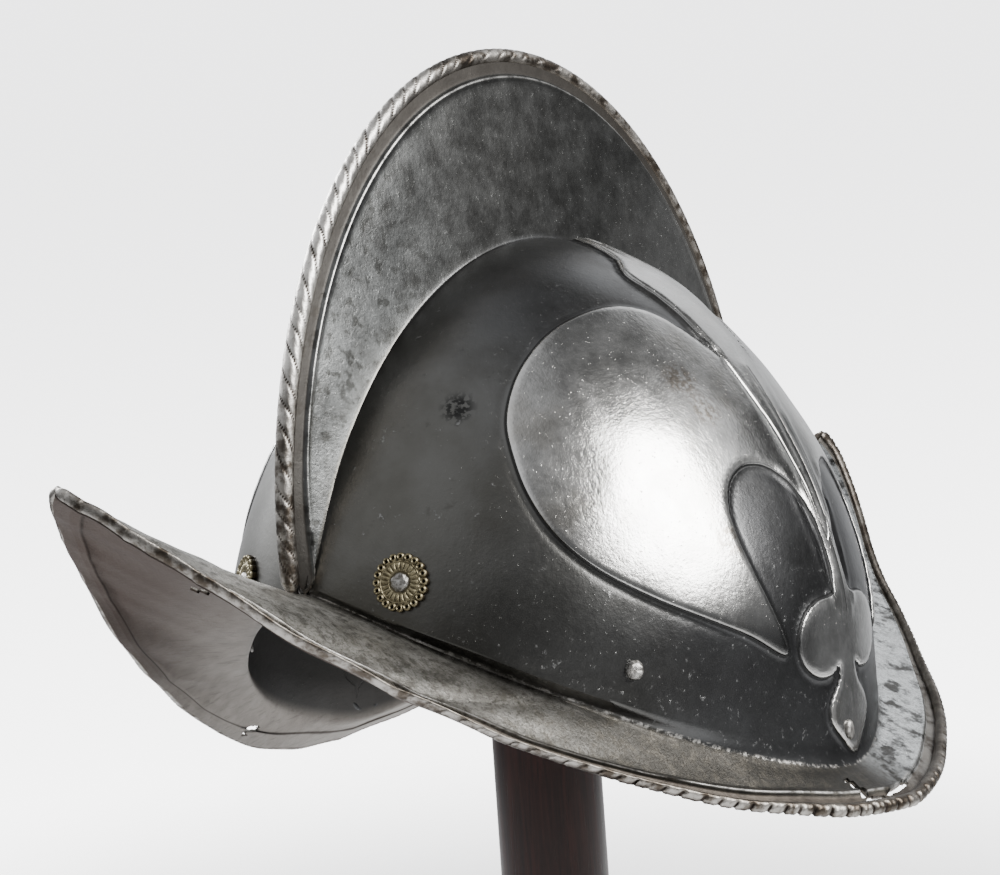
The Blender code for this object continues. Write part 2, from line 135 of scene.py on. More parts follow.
# %% Sizes and outlines
HELMET_LENGTH = 356.0 * MM
BRIM_WIDTH = 227.0 * MM
BRIM_HEIGHT = 107.0 * MM
PEAK_RISE = 100.5 * MM
FRONT_ROLL = 2.8 * MM
BACK_ROLL = 3.8 * MM
FOOT_LENGTH = 211.0 * MM
FOOT_WIDTH = 191.0 * MM
FOOT_HEIGHT = 9.0 * MM
FOOT_RISE = 57.5 * MM
SKULL_LENGTH = 221.0 * MM
SKULL_WIDTH = 191.0 * MM
BELLY_HEIGHT = 48.0 * MM
CROWN_HEIGHT = 166.5 * MM
LENGTH_FULLNESS = 1.85
WIDTH_FULLNESS = 1.7
SLIM_FOOT = 0.10
SLIM_CROWN = 0.20
COMB_LENGTH = 230.0 * MM
COMB_CENTRE_HEIGHT = 81.0 * MM
COMB_HEIGHT = 226.5 * MM
COMB_ROLL = 5.0 * MM
COMB_EDGE_THICKNESS = 4.2 * MM
COMB_BASE_THICKNESS = 10.0 * MM
WALL = 1.6 * MM
BRIM_WALL = 1.2 * MM
SEAM = 0.3 * MM
NOSE_TURN = 4.0

OUTLINE = np.array((
    # turn, brim_out, brim_up, foot_out, foot_up
    (0, 0.0, 0.98, 0.0, 1.0),
    (12, 0.065, 0.92, 0.185, 0.89),
    (25, 0.176, 0.79, 0.38, 0.74),
    (40, 0.354, 0.55, 0.61, 0.535),
    (58, 0.60, 0.268, 0.845, 0.28),
    (75, 0.855, 0.064, 0.97, 0.095),
    (90, 1.0, 0.0, 1.0, 0.0),
    (105, 0.90, 0.09, 0.93, 0.10),
    (122, 0.63, 0.275, 0.765, 0.29),
    (140, 0.34, 0.51, 0.56, 0.52),
    (155, 0.176, 0.75, 0.365, 0.73),
    (168, 0.068, 0.915, 0.19, 0.88),
    (180, 0.0, 1.0, 0.0, 1.0),
))


def smooth_column(turn, column):
    """One column of the outline table as a smooth curve of the turn."""
    xs, ys = OUTLINE[:, 0], OUTLINE[:, column]
    steps = np.diff(xs)
    slopes = np.diff(ys) / steps
    lean = np.empty_like(ys)
    lean[0], lean[-1] = slopes[0], slopes[-1]
    lean[1:-1] = (slopes[:-1] * steps[1:] + slopes[1:] * steps[:-1]) / (steps[:-1] + steps[1:])
    i = np.clip(np.searchsorted(xs, turn) - 1, 0, len(steps) - 1)
    u = (turn - xs[i]) / steps[i]
    start = (1 + 2 * u) * (1 - u) ** 2 * ys[i] + u * (1 - u) ** 2 * steps[i] * lean[i]
    end = u * u * (3 - 2 * u) * ys[i + 1] + u * u * (u - 1) * steps[i] * lean[i + 1]
    return start + end


def points(x, y, z):
    """Stack coordinates as an array of points."""
    return np.stack(np.broadcast_arrays(x, y, z), axis=-1).astype(float)


def unit(v):
    """Directions of unit length."""
    return v / np.maximum(np.linalg.norm(v, axis=-1, keepdims=True), 1e-12)


def foot_height(turn):
    """Height of the skull's foot above the floor."""
    return BRIM_HEIGHT + FOOT_HEIGHT + FOOT_RISE * smooth_column(turn, 4)


def comb_line(turn, inset, half_thickness):
    """The comb's edge, an arc of an ellipse that ends on the foot, inset by a distance."""
    half_length = COMB_LENGTH / 2 - inset
    centre = BRIM_HEIGHT + COMB_CENTRE_HEIGHT
    rise = COMB_HEIGHT - COMB_CENTRE_HEIGHT - inset
    dip = math.asin((centre - float(foot_height(0.0))) / rise)
    angle = -dip + np.radians(turn) * (1 + 2 * dip / math.pi)
    return points(half_thickness, -half_length * np.cos(angle), centre + rise * np.sin(angle))


def brim_line(turn, inset):
    """The brim's edge, drawn in towards the middle by a distance."""
    edge = points(BRIM_WIDTH / 2 * smooth_column(turn, 1), -HELMET_LENGTH / 2 * np.cos(np.radians(turn)),
                  BRIM_HEIGHT + PEAK_RISE * smooth_column(turn, 2))
    return edge - unit(edge - foot_line(turn)) * inset


def foot_line(turn):
    """The foot of the skull. Within the nose turn it follows the comb to its end."""
    plain = points(FOOT_WIDTH / 2 * smooth_column(turn, 3), -FOOT_LENGTH / 2 * np.cos(np.radians(turn)),
                   foot_height(turn))
    ends = comb_line(np.where(turn < 90, 0.0, 180.0), COMB_ROLL, COMB_EDGE_THICKNESS / 2)
    share = np.clip(np.minimum(turn, 180 - turn) / NOSE_TURN, 0, 1)[..., None]
    return ends * (1 - share) + plain * share


def skull_section(height):
    """Half length and half width of the skull at a height above the floor."""
    belly, crown = BRIM_HEIGHT + BELLY_HEIGHT, BRIM_HEIGHT + CROWN_HEIGHT
    up = np.clip((height - belly) / (crown - belly), 0, 1)
    down = np.clip((belly - height) / (BELLY_HEIGHT - FOOT_HEIGHT), 0, 1)
    half_length = SKULL_LENGTH / 2 * (1 - up ** LENGTH_FULLNESS) ** (1 / LENGTH_FULLNESS)
    half_width = SKULL_WIDTH / 2 * (1 - up ** WIDTH_FULLNESS) ** (1 / WIDTH_FULLNESS)
    return half_length, half_width + (FOOT_WIDTH - SKULL_WIDTH) / 2 * down ** 2


def skull_at(around, height):
    """A point of the bare skull. The back half is slimmer than the front."""
    half_length, half_width = skull_section(height)
    up = (height - BRIM_HEIGHT - FOOT_HEIGHT) / (CROWN_HEIGHT - FOOT_HEIGHT)
    slim = SLIM_FOOT + (SLIM_CROWN - SLIM_FOOT) * np.clip(up, 0, 1)
    width = half_width * (1 - slim * np.where(around > math.pi / 2, np.sin(2 * around) ** 2, 0.0))
    return points(width * np.sin(around), -half_length * np.cos(around), height)


def skull_point(turn, share):
    """A point of the skull, from the comb at share 0 down to the foot at share 1."""
    angle = np.radians(turn)
    top = points(0.0, -np.cos(angle), np.sin(angle))
    low = points(np.sin(angle), -np.cos(angle), 0.0)
    apart = np.arccos(np.clip((top * low).sum(-1), -1, 1))
    sine = np.maximum(np.sin(apart), 1e-9)
    near = np.where(apart > 1e-4, np.sin((1 - share) * apart) / sine, 1 - share)
    far = np.where(apart > 1e-4, np.sin(share * apart) / sine, share)
    way = unit(near[..., None] * top + far[..., None] * low)
    around = np.arctan2(way[..., 0], -way[..., 1])
    foot = foot_height(np.degrees(around))
    height = foot + (BRIM_HEIGHT + CROWN_HEIGHT - foot) * np.clip(way[..., 2], 0, 1)
    place = skull_at(around, height)
    place[..., 0] = np.hypot(place[..., 0], COMB_BASE_THICKNESS / 2 * (1 - share))
    return place


print("brim at the side, in mm:", np.round(brim_line(np.array([90.0]), 0.0)[0] / MM, 1))

# %% [markdown]
# ## The lily's outline
# The lily is a common ornament on such helmets: two wide petals curl away from a stem, a spear
# stands between them, a knot holds them and a small leaf hangs below. The smith raised it from
# behind and cut round it. Here it is a set of outlines on the side of the skull, and the distance
# to them drives everything: how far the metal is raised, where it is polished, and where the cut
# line runs. A distance stays sharp at any zoom, which a painted mask wouldn't.

# %% The lily as distances
LILY_WIDTH = 162.0 * MM
LILY_HEIGHT = 145.0 * MM
LILY_FOOT_HEIGHT = 14.0 * MM
SIDE_PETAL = (
    # across, up
    (0.0, 0.70), (0.05, 0.68), (0.10, 0.735), (0.185, 0.80), (0.26, 0.836), (0.36, 0.85), (0.49, 0.838),
    (0.63, 0.807), (0.74, 0.766), (0.84, 0.713), (0.92, 0.65), (0.96, 0.59), (0.98, 0.515),
    (0.96, 0.442), (0.89, 0.38), (0.77, 0.327), (0.63, 0.283), (0.48, 0.241), (0.335, 0.197),
    (0.385, 0.28), (0.43, 0.355), (0.447, 0.42), (0.435, 0.469), (0.385, 0.512), (0.30, 0.537),
    (0.21, 0.536), (0.14, 0.515), (0.075, 0.47), (0.04, 0.40), (0.032, 0.33), (0.05, 0.26), (0.0, 0.255),
)
SPEAR = (
    # across, up
    (0.0, 1.0), (0.08, 0.965), (0.155, 0.925), (0.13, 0.87), (0.11, 0.78), (0.088, 0.69), (0.062, 0.60),
    (0.042, 0.50), (0.028, 0.42), (0.0, 0.42),
)
KNOT = (
    # across, up
    (0.0, 0.277), (0.09, 0.278), (0.17, 0.272), (0.235, 0.25), (0.27, 0.21), (0.25, 0.168), (0.18, 0.143),
    (0.10, 0.142), (0.06, 0.155), (0.0, 0.155),
)
TAIL = (
    # across, up
    (0.0, 0.17), (0.045, 0.15), (0.06, 0.12), (0.115, 0.085), (0.125, 0.055), (0.07, 0.02), (0.0, -0.01),
    (0.0, 0.08),
)
RIBS = (
    # across, bottom, top
    (0.0, 0.25, 0.72),
    (0.032, 0.25, 0.62),
    (0.058, 0.27, 0.52),
)


def rounded(outline, steps=6):
    """A closed outline of shares as metres, with a smooth curve through its points."""
    shape = np.array(outline, float) * (LILY_WIDTH / 2, LILY_HEIGHT)
    before, after, far = np.roll(shape, 1, 0), np.roll(shape, -1, 0), np.roll(shape, -2, 0)
    rows = []
    for t in np.arange(steps) / steps:
        square, cube = 2 * before - 5 * shape + 4 * after - far, 3 * shape - before - 3 * after + far
        rows.append(0.5 * (2 * shape + (after - before) * t + square * t ** 2 + cube * t ** 3))
    curve = np.stack(rows, axis=1).reshape(-1, 2)
    curve[:, 0] = np.maximum(curve[:, 0], -2 * MM)
    return curve


def outline_distance(here, shape):
    """Signed distance to a closed outline, positive inside."""
    best = np.full(here.shape[:-1], np.inf)
    inside = np.zeros(here.shape[:-1], bool)
    for a, b in zip(shape, np.roll(shape, -1, axis=0)):
        along = b - a
        t = np.clip(((here - a) @ along) / max(along @ along, 1e-18), 0, 1)
        best = np.minimum(best, np.hypot(*np.moveaxis(here - a - t[..., None] * along, -1, 0)))
        crosses = (a[1] > here[..., 1]) != (b[1] > here[..., 1])
        rise = along[1] if abs(along[1]) > 1e-12 else 1e-12
        inside ^= crosses & (here[..., 0] < a[0] + (here[..., 1] - a[1]) * along[0] / rise)
    return np.where(inside, best, -best)


def lily_distances(place):
    """Distance inside the whole lily, distance inside the spear, and distance to the nearest rib."""
    here = np.stack([np.abs(place[..., 1]), place[..., 2] - BRIM_HEIGHT - LILY_FOOT_HEIGHT], axis=-1)
    petal, spear, knot, tail = (outline_distance(here, rounded(s)) for s in (SIDE_PETAL, SPEAR, KNOT, TAIL))
    whole = np.maximum.reduce([petal, spear, knot, tail])
    ribs = np.full(petal.shape, np.inf)
    for across, bottom, top in RIBS:
        low, high = bottom * LILY_HEIGHT, top * LILY_HEIGHT
        beyond = np.maximum(np.maximum(low - here[..., 1], here[..., 1] - high), 0)
        spread = across * LILY_WIDTH / 2 * (1 + (here[..., 1] - low) / (high - low))
        ribs = np.minimum(ribs, np.hypot(here[..., 0] - spread, beyond))
    return whole, spear, ribs


probe = points(80 * MM, -45 * MM, BRIM_HEIGHT + 90 * MM)
print("depth inside the side petal, in mm:", round(float(lily_distances(probe[None])[0][0]) / MM, 1))

# %% [markdown]
# ## The sheet of a half helmet
# Morions were often raised as two halves and joined along the comb. Each half here is one closed
# thin sheet. It could be modelled by hand from a plane, but its outer side has to follow the
# outlines to a tenth of a millimetre, and it carries the lily, so it is laid out as lines and rows:
# a line for each turn, and rows that run from the comb, over the skull and out to the brim's edge.
# Rows crowd together near the edges, where a smith works a sunk band beside the roll.

# %% Lines and rows
NOSE_STEPS = 5
END_STEPS = 36
SIDE_STEPS = 226
END_TURN = 34.0
BAND_ROWS = 16
COMB_ROWS = 34
SKULL_ROWS = 146
BRIM_ROWS = 20
FILLET_STEPS = 5
BAND_REACH = 8.0 * MM
CREASE_FILLET = 4.0 * MM
FOOT_FILLET = 4.0 * MM
BRIM_SWEEP = 1.2


def shell_turns():
    """The turns of the lines, closest together beside the lily."""
    nose = np.linspace(0, NOSE_TURN, NOSE_STEPS + 1)
    end = np.linspace(NOSE_TURN, END_TURN, END_STEPS + 1)
    front = np.concatenate([nose[:-1], end[:-1]])
    return np.concatenate([front, np.linspace(END_TURN, 180 - END_TURN, SIDE_STEPS + 1), 180 - front[::-1]])


def length(v):
    """Lengths of vectors, kept as a last column."""
    return np.linalg.norm(v, axis=-1, keepdims=True)


def bend(first, corner, last):
    """Rows of a rounded corner between two points."""
    return [(1 - t) ** 2 * first + 2 * t * (1 - t) * corner + t * t * last
            for t in np.linspace(0, 1, FILLET_STEPS + 1)]


def wobble(turn, size, reach, seed):
    """A slow uneven wave along the turns, for an edge that was worked by hand."""
    return size * np.array([noise.noise(Vector((float(t) / reach, seed, 0.0))) for t in turn])


def roll_radius(turn):
    """Half the thickness of the brim's roll, which is slimmer towards the front peak."""
    share = np.clip((turn - 45) / 40, 0, 1)
    return (FRONT_ROLL + (BACK_ROLL - FRONT_ROLL) * share)[:, None] / 2


def brim_centre(turn):
    """The centre line of the brim's roll, with the small waves that wear has left in it."""
    centre = brim_line(turn, roll_radius(turn))
    calm = np.clip(np.minimum(turn, 180 - turn) / 10, 0, 1)
    centre[:, 2] += np.abs(wobble(turn, 1.6 * MM, 9.0, 3.0)) * calm
    centre[[0, -1], 0] = 0.0
    return centre


def outer_sheet(turn):
    """The outer surface as lines by rows, with the first row of the skull and of the brim."""
    edge = comb_line(turn, COMB_ROLL * 0.7, COMB_EDGE_THICKNESS / 2)
    foot, centre = foot_line(turn), brim_centre(turn)
    crease = skull_point(turn, np.zeros_like(turn))
    steps = [skull_point(turn, np.full_like(turn, share)) for share in np.linspace(0, 1, 11)]
    arc = sum(length(after - before) for before, after in zip(steps, steps[1:]))[:, 0]
    tall = length(edge - crease)
    start = crease + (edge - crease) * np.minimum(CREASE_FILLET / tall, 0.4)
    band = np.minimum(BAND_REACH / tall, 0.5)
    shares = [band * k / BAND_ROWS for k in range(BAND_ROWS)]
    shares += [band + (1 - band) * k / COMB_ROWS for k in range(COMB_ROWS)]
    rows = [edge + (start - edge) * share for share in shares]
    high, low = np.minimum(CREASE_FILLET / arc, 0.3), 1 - np.minimum(FOOT_FILLET / arc, 0.3)
    rows += bend(start, crease, skull_point(turn, high))
    skull_row = len(rows) - 1
    for k in range(1, SKULL_ROWS):
        rows.append(skull_point(turn, high + (low - high) * k / SKULL_ROWS))
    wide = length(centre - foot)
    begin = np.minimum(FOOT_FILLET / wide, 0.3)

    def brim(share):
        point = foot + (centre - foot) * share
        point[:, 2:] = foot[:, 2:] + (centre[:, 2:] - foot[:, 2:]) * share ** BRIM_SWEEP
        return point

    rows += bend(skull_point(turn, low), foot, brim(begin))
    brim_row = len(rows) - FILLET_STEPS // 2 - 1
    rim = 1 - np.minimum(BAND_REACH / wide, 0.5)
    rows += [brim(begin + (rim - begin) * k / BRIM_ROWS) for k in range(1, BRIM_ROWS)]
    rows += [brim(rim + (1 - rim) * k / BAND_ROWS) for k in range(BAND_ROWS + 1)]
    sheet = np.stack(rows, axis=1)
    sheet[[0, -1], :brim_row] = foot[[0, -1], None]
    sheet[[0, -1], brim_row:, 0] = 0.0
    return sheet, skull_row, brim_row


turns = shell_turns()
sheet, skull_row, brim_row = outer_sheet(turns)
print("lines and rows:", sheet.shape[:2], "skull starts at row", skull_row, "and brim at row", brim_row)

# %% [markdown]
# ## Worked relief
# A real sheet is never as smooth as its formula. Four things push it in or out here, all along its
# own normal: the raised lily with a cut line round it, the sunk bands beside the rolls, the slow
# waves left by the hammer, and a few dents. Reflections show waves far smaller than a shape would,
# so a tenth of a millimetre is enough.

# %% Relief
LILY_RELIEF = 1.0 * MM
LILY_EDGE = 1.7 * MM
CUT_DEPTH = 0.2 * MM
SPEAR_RELIEF = 0.6 * MM
BAND_WIDTH = 4.6 * MM
BAND_DEPTH = 0.7 * MM
BEAD_RISE = 0.35 * MM
DENTS = (
    # side, along, up, reach, depth
    (1, -80.0, 218.0, 7.0, 0.45),
    (1, -52.0, 176.0, 9.0, 0.25),
    (1, 30.0, 190.0, 12.0, 0.3),
    (1, -20.0, 200.0, 14.0, 0.25),
    (-1, -60.0, 190.0, 12.0, 0.4),
    (-1, 40.0, 170.0, 10.0, 0.5),
    (-1, 70.0, 200.0, 8.0, 0.3),
)


def smooth(value, low, high):
    """A smooth step from 0 at low to 1 at high."""
    t = np.clip((value - low) / (high - low), 0, 1)
    return t * t * (3 - 2 * t)


def sheet_normals(grid):
    """Outward unit normals of the sheet."""
    return unit(np.cross(np.gradient(grid, axis=1), np.gradient(grid, axis=0)))


def waves(grid, reach, seed):
    """Soft uneven waves at every point of a sheet."""
    flat = grid.reshape(-1, 3) / reach
    return np.array([noise.noise(Vector(p) + Vector((seed, 0, 0))) for p in flat]).reshape(grid.shape[:2])


def along_surface(flat, grid):
    """A distance measured on the flat side view, as a distance along the sloping sheet."""
    fi, fj = np.gradient(flat)
    pi, pj = np.gradient(grid, axis=0), np.gradient(grid, axis=1)
    e, f, g = (pi * pi).sum(-1), (pi * pj).sum(-1), (pj * pj).sum(-1)
    steep = (fi * fi * g - 2 * fi * fj * f + fj * fj * e) / np.maximum(e * g - f * f, 1e-16)
    return flat / np.clip(np.sqrt(np.maximum(steep, 0)), 0.25, 1)


def measure_sheet(grid):
    """Distances that shape and colour the sheet: lily, spear, rib, rim, crease and brim."""
    whole, spear, ribs = (along_surface(flat, grid) for flat in lily_distances(grid))
    rows = np.arange(grid.shape[1])[None, :]
    skull = (rows > skull_row - FILLET_STEPS) & (rows < brim_row)
    whole, spear = np.where(skull, whole, -20 * MM), np.where(skull, spear, -20 * MM)
    ribs = np.where(skull, ribs, 20 * MM)
    middle = brim_row - 10
    rim = np.where(rows < middle, length(grid - grid[:, :1])[..., 0], length(grid - grid[:, -1:])[..., 0])
    corner = skull_row - 2
    crease = length(grid - grid[:, corner:corner + 1])[..., 0] * np.where(rows < corner, 1, -1)
    brim = length(grid - grid[:, brim_row:brim_row + 1])[..., 0] * np.where(rows > brim_row, 1, -1)
    return {"lily": whole, "spear": spear, "rib": ribs, "rim": rim, "crease": crease, "brim": brim}


def work_sheet(grid, marks, side):
    """Push the sheet in and out along its normals."""
    rise = LILY_RELIEF * smooth(marks["lily"], -LILY_EDGE, 0.5 * MM)
    rise -= CUT_DEPTH * np.exp(-((marks["lily"] + LILY_EDGE) / (0.9 * MM)) ** 2)
    rise += SPEAR_RELIEF * smooth(marks["spear"], -1.2 * MM, 1.2 * MM)
    rise += 0.5 * MM * np.exp(-(marks["rib"] / (1.5 * MM)) ** 2)
    rim = marks["rim"]
    rise -= BAND_DEPTH * (1 - smooth(rim, BAND_WIDTH, BAND_WIDTH + 1.2 * MM))
    rise += BEAD_RISE * np.exp(-((rim - BAND_WIDTH - 1.4 * MM) / (1.0 * MM)) ** 2)
    slow = waves(grid, 34 * MM, side * 5.0) * 0.5 + waves(grid, 13 * MM, side * 9.0) * 0.14
    calm = smooth(rim, 2 * MM, 14 * MM)
    rise += slow * MM * calm
    rise += waves(grid, 9 * MM, side * 3.0) * 0.5 * MM * smooth(marks["brim"], 0, 8 * MM) * calm
    for at, along, up, reach, depth in DENTS:
        if at == side:
            away = np.hypot(grid[..., 1] / MM - along, grid[..., 2] / MM - up) / reach
            rise -= depth * MM * np.exp(-away ** 2)
    normals = sheet_normals(grid)
    normals[[0, -1], brim_row:, 0] = 0.0
    normals = unit(normals)
    rise[[0, -1], :brim_row] = 0.0
    return grid + normals * rise[..., None], normals


marks = measure_sheet(sheet)
print("deepest point of the lily, in mm:", round(float(marks["lily"].max()) / MM, 1))

# %% [markdown]
# ## Closing the sheet
# The inner side is the outer one moved in by the wall. Nobody sees the lily from inside, so it
# needs few rows over the skull, and as many as the outer side on the brim, whose underside shows.
# The two sides are then joined round all their edges, and a few cells are left out where the real
# brim has rusted through or torn.

# %% Half shells
HEM_WIDTH = 8.0 * MM
HEM_STEP = 0.8 * MM
HEM_DEPTH = 0.5 * MM
INNER_WAVE = 0.35 * MM
SEAM_GAP = 0.02 * MM
HOLES = (
    # side, across and along of one end, of the other end, half width
    (1, 100.6, -13.7, 104.3, -13.3, 1.25),
    (1, 104.3, -13.3, 106.2, -11.6, 0.5),
    (1, 105.6, -16.5, 106.8, -8.5, 0.6),
    (1, 107.0, -6.0, 107.4, 6.0, 0.4),
    (-1, -11.6, -127.6, -12.6, -131.2, 0.8),
    (-1, -81.8, -67.5, -84.5, -59.5, 0.65),
)


def shell_rows(count):
    """The outer rows that the inner side repeats: few over the comb and skull, all on the brim."""
    comb = list(range(0, skull_row, 9))
    skull = list(range(skull_row, brim_row - 1, 14))
    return np.array(comb + skull + list(range(brim_row, count)))


def quads(lines, rows, first, flip):
    """Corner numbers of the cells of a grid of points."""
    at = first + np.arange(lines * rows).reshape(lines, rows)
    cells = np.stack([at[:-1, :-1], at[:-1, 1:], at[1:, 1:], at[1:, :-1]], axis=-1)
    return cells[..., ::-1] if flip else cells


def half_shell(name, side):
    """One closed sheet: outer side, inner side, and the walls that join them."""
    grid, normals = work_sheet(sheet, marks, side)
    keep = shell_rows(grid.shape[1])
    thick = np.where(keep >= brim_row, BRIM_WALL, WALL)
    inner = sheet[:, keep] - normals[:, keep] * thick[:, None]
    hem = smooth(marks["rim"][:, keep], HEM_WIDTH + HEM_STEP, HEM_WIDTH) * (keep >= brim_row)
    inner -= normals[:, keep] * (HEM_DEPTH * hem)[..., None]
    uneven = waves(sheet[:, keep], 16 * MM, side * 7.0) * INNER_WAVE * (1 - hem)
    inner += normals[:, keep] * uneven[..., None]
    nose = keep < brim_row
    nose_low = sheet[[0, -1], brim_row] - points(0.0, np.array([-1, 1]) * WALL, 1.5 * WALL)
    inner[0, nose], inner[-1, nose] = nose_low
    inner[..., 0] = np.maximum(inner[..., 0], SEAM_GAP)
    grid[..., 0] = np.maximum(grid[..., 0], SEAM_GAP)
    lines, rows = grid.shape[:2]
    outer_faces = quads(lines, rows, 0, False)
    inner_faces = quads(lines, len(keep), lines * rows, True)
    both = np.concatenate([grid.reshape(-1, 3), inner.reshape(-1, 3)]) * (side, 1, 1)
    gone = np.zeros((lines, rows), bool)
    seen_from_above = grid[..., :2] * (side / MM, 1 / MM)
    for at, x0, y0, x1, y1, half in HOLES:
        if at == side:
            start, way = np.array([x0, y0]), np.array([x1 - x0, y1 - y0])
            t = np.clip((seen_from_above - start) @ way / (way @ way), 0, 1)
            away = np.linalg.norm(seen_from_above - start - t[..., None] * way, axis=-1)
            gone |= (away < half) & (np.arange(rows)[None, :] > brim_row)
    here = gone[:-1, :-1]
    brim_first = int(np.argmax(keep == brim_row))
    faces = outer_faces[~here].tolist()
    inner_gone = np.zeros(inner_faces.shape[:2], bool)
    inner_gone[:, brim_first:] = here[:, brim_row:]
    faces += inner_faces[~inner_gone].tolist()

    def pair(i, j):
        """Numbers of an outer point and of the inner point behind it."""
        return i * rows + int(keep[j]), lines * rows + i * len(keep) + j

    runs = []
    for i in range(lines - 1):
        runs += [((i, 0), (i + 1, 0)), ((i + 1, len(keep) - 1), (i, len(keep) - 1))]
    for j in range(brim_first - 1, len(keep) - 1):
        runs += [((0, j + 1), (0, j)), ((lines - 1, j), (lines - 1, j + 1))]
    for i, j in zip(*np.nonzero(inner_gone)):
        for a, b, ni, nj in (((i, j), (i + 1, j), i, j - 1), ((i + 1, j), (i + 1, j + 1), i + 1, j),
                             ((i + 1, j + 1), (i, j + 1), i, j + 1), ((i, j + 1), (i, j), i - 1, j)):
            if not inner_gone[ni, nj]:
                runs.append((a, b))
    for a, b in runs:
        (oa, ia), (ob, ib) = pair(*a), pair(*b)
        faces.append([oa, ia, ib, ob])
    mesh = bpy.data.meshes.new(name)
    mesh.from_pydata(both.tolist(), [], faces)
    for key, value in marks.items():
        flat = np.concatenate([value.ravel(), value[:, keep].ravel()]) / MM
        mesh.attributes.new(key, "FLOAT", "POINT").data.foreach_set("value", flat)
    inside = np.concatenate([np.zeros(lines * rows), np.ones(lines * len(keep))])
    mesh.attributes.new("inside", "FLOAT", "POINT").data.foreach_set("value", inside)
    bm = bmesh.new()
    bm.from_mesh(mesh)
    bmesh.ops.remove_doubles(bm, verts=bm.verts, dist=1e-7)
    bmesh.ops.dissolve_degenerate(bm, dist=1e-7, edges=bm.edges)
    bmesh.ops.recalc_face_normals(bm, faces=bm.faces)
    bm.to_mesh(mesh)
    open_edges = sum(not e.is_manifold for e in bm.edges)
    bm.free()
    mesh.shade_smooth()
    mesh.set_sharp_from_angle(angle=math.radians(50))
    piece = bpy.data.objects.new(name, mesh)
    bpy.context.scene.collection.objects.link(piece)
    print(name, "has", len(mesh.polygons), "faces and", open_edges, "open edges")
    return piece


SIDES = ((1, "left"), (-1, "right"))
shells = {word: half_shell(f"half_shell_{word}", side) for side, word in SIDES}

# %% [markdown]
# ## The roped rolls
# The sheet's edge is turned over a wire and nicked with a chisel, so that it looks like rope. A
# curve with a bevel gives a tube, but not the slanting cuts, so the rings of the tube are laid
# along the edge one by one, and each point's radius says whether it lies on a strand or in a cut.
# On the comb the cuts wind round the roll. On the brim they are short nicks straight across it,
# shallow at the front peak and deep along the side. They are not quite regular, as nothing struck
# by hand is.

# %% Roped rolls
COMB_CUT_PITCH = 7.0
BRIM_CUT_PITCH = 4.6
ROPE_SIDES = 28


def lay_out(name, places, faces, marks):
    """A mesh from an array of places, lists of corners and a number for each point."""
    mesh = bpy.data.meshes.new(name)
    mesh.from_pydata(np.clip(places.reshape(-1, 3), cad_low, cad_high).tolist(), [], faces)
    for key, value in marks.items():
        mesh.attributes.new(key, "FLOAT", "POINT").data.foreach_set("value", value.ravel())
    mesh.shade_smooth()
    mesh.set_sharp_from_angle(angle=math.radians(60))
    piece = bpy.data.objects.new(name, mesh)
    bpy.context.scene.collection.objects.link(piece)
    return piece


def rope(name, centre, out, across, radius, pitch, twist, depth, reach, seed):
    """A tube of rings along a line, with cuts that wind round it, deepest on its outer side."""
    run = np.concatenate([[0], np.cumsum(np.linalg.norm(np.diff(centre, axis=0), axis=-1))]) / MM
    uneven = np.array([noise.noise(Vector((s / 17, seed, 0))) for s in run])
    deeper = np.array([noise.noise(Vector((s / 11, 0, seed))) for s in run])
    angle = 2 * math.pi * (np.arange(ROPE_SIDES) / ROPE_SIDES - 0.5)
    phase = (run / pitch + 0.5 * uneven)[:, None] + twist * angle[None, :] / (2 * math.pi)
    away = np.abs((phase + 0.5) % 1 - 0.5) * pitch
    outer = smooth(np.cos(angle), *reach)[None, :]
    cut = np.exp(-(away / 0.5) ** 2) * (1 + 0.6 * deeper[:, None]) * outer
    pad = np.cos(math.pi * np.minimum(away / (pitch / 2), 1)) ** 2 * outer
    end = np.minimum(run, run[-1] - run)[:, None]
    size = radius * (1 - depth[:, None] * (cut + 0.2 * pad)) * (0.55 + 0.45 * smooth(end, 0, 2.5))
    ring = np.cos(angle)[None, :, None] * out[:, None] + np.sin(angle)[None, :, None] * across[:, None]
    places = centre[:, None] + ring * size[..., None]
    at = np.arange(places.shape[0] * ROPE_SIDES).reshape(-1, ROPE_SIDES)
    turned = np.roll(at, -1, axis=1)
    faces = np.stack([at[:-1], turned[:-1], turned[1:], at[1:]], axis=-1).reshape(-1, 4).tolist()
    faces += [at[0][::-1].tolist(), at[-1].tolist()]
    deep = np.clip(cut * depth[:, None] / depth.max(), 0, 1)
    marks = {"cut": deep, "outer": np.broadcast_to(outer, cut.shape)}
    piece = lay_out(name, places, faces, marks)
    bm = bmesh.new()
    bm.from_mesh(piece.data)
    bmesh.ops.recalc_face_normals(bm, faces=bm.faces)
    bm.to_mesh(piece.data)
    bm.free()
    print(name, "is", round(run[-1]), "mm long, with", int(run[-1] / pitch), "cuts")
    return piece


def tangents(line):
    """Directions along a line of points."""
    return unit(np.gradient(line, axis=0))


comb_turns = np.linspace(0.4, 179.6, 760)
comb_path = comb_line(comb_turns, COMB_ROLL / 2, 0.0)
comb_along = tangents(comb_path)
comb_out = np.stack([np.zeros(len(comb_path)), -comb_along[:, 2], comb_along[:, 1]], axis=-1)
comb_depth = 0.05 + 0.07 * (1 - smooth(comb_turns, 70.0, 120.0))
comb_rope = rope("comb_rope", comb_path, comb_out, np.broadcast_to((1.0, 0.0, 0.0), comb_path.shape),
                 COMB_ROLL / 2, COMB_CUT_PITCH, 3, comb_depth, (-0.9, -0.1), 2.0)

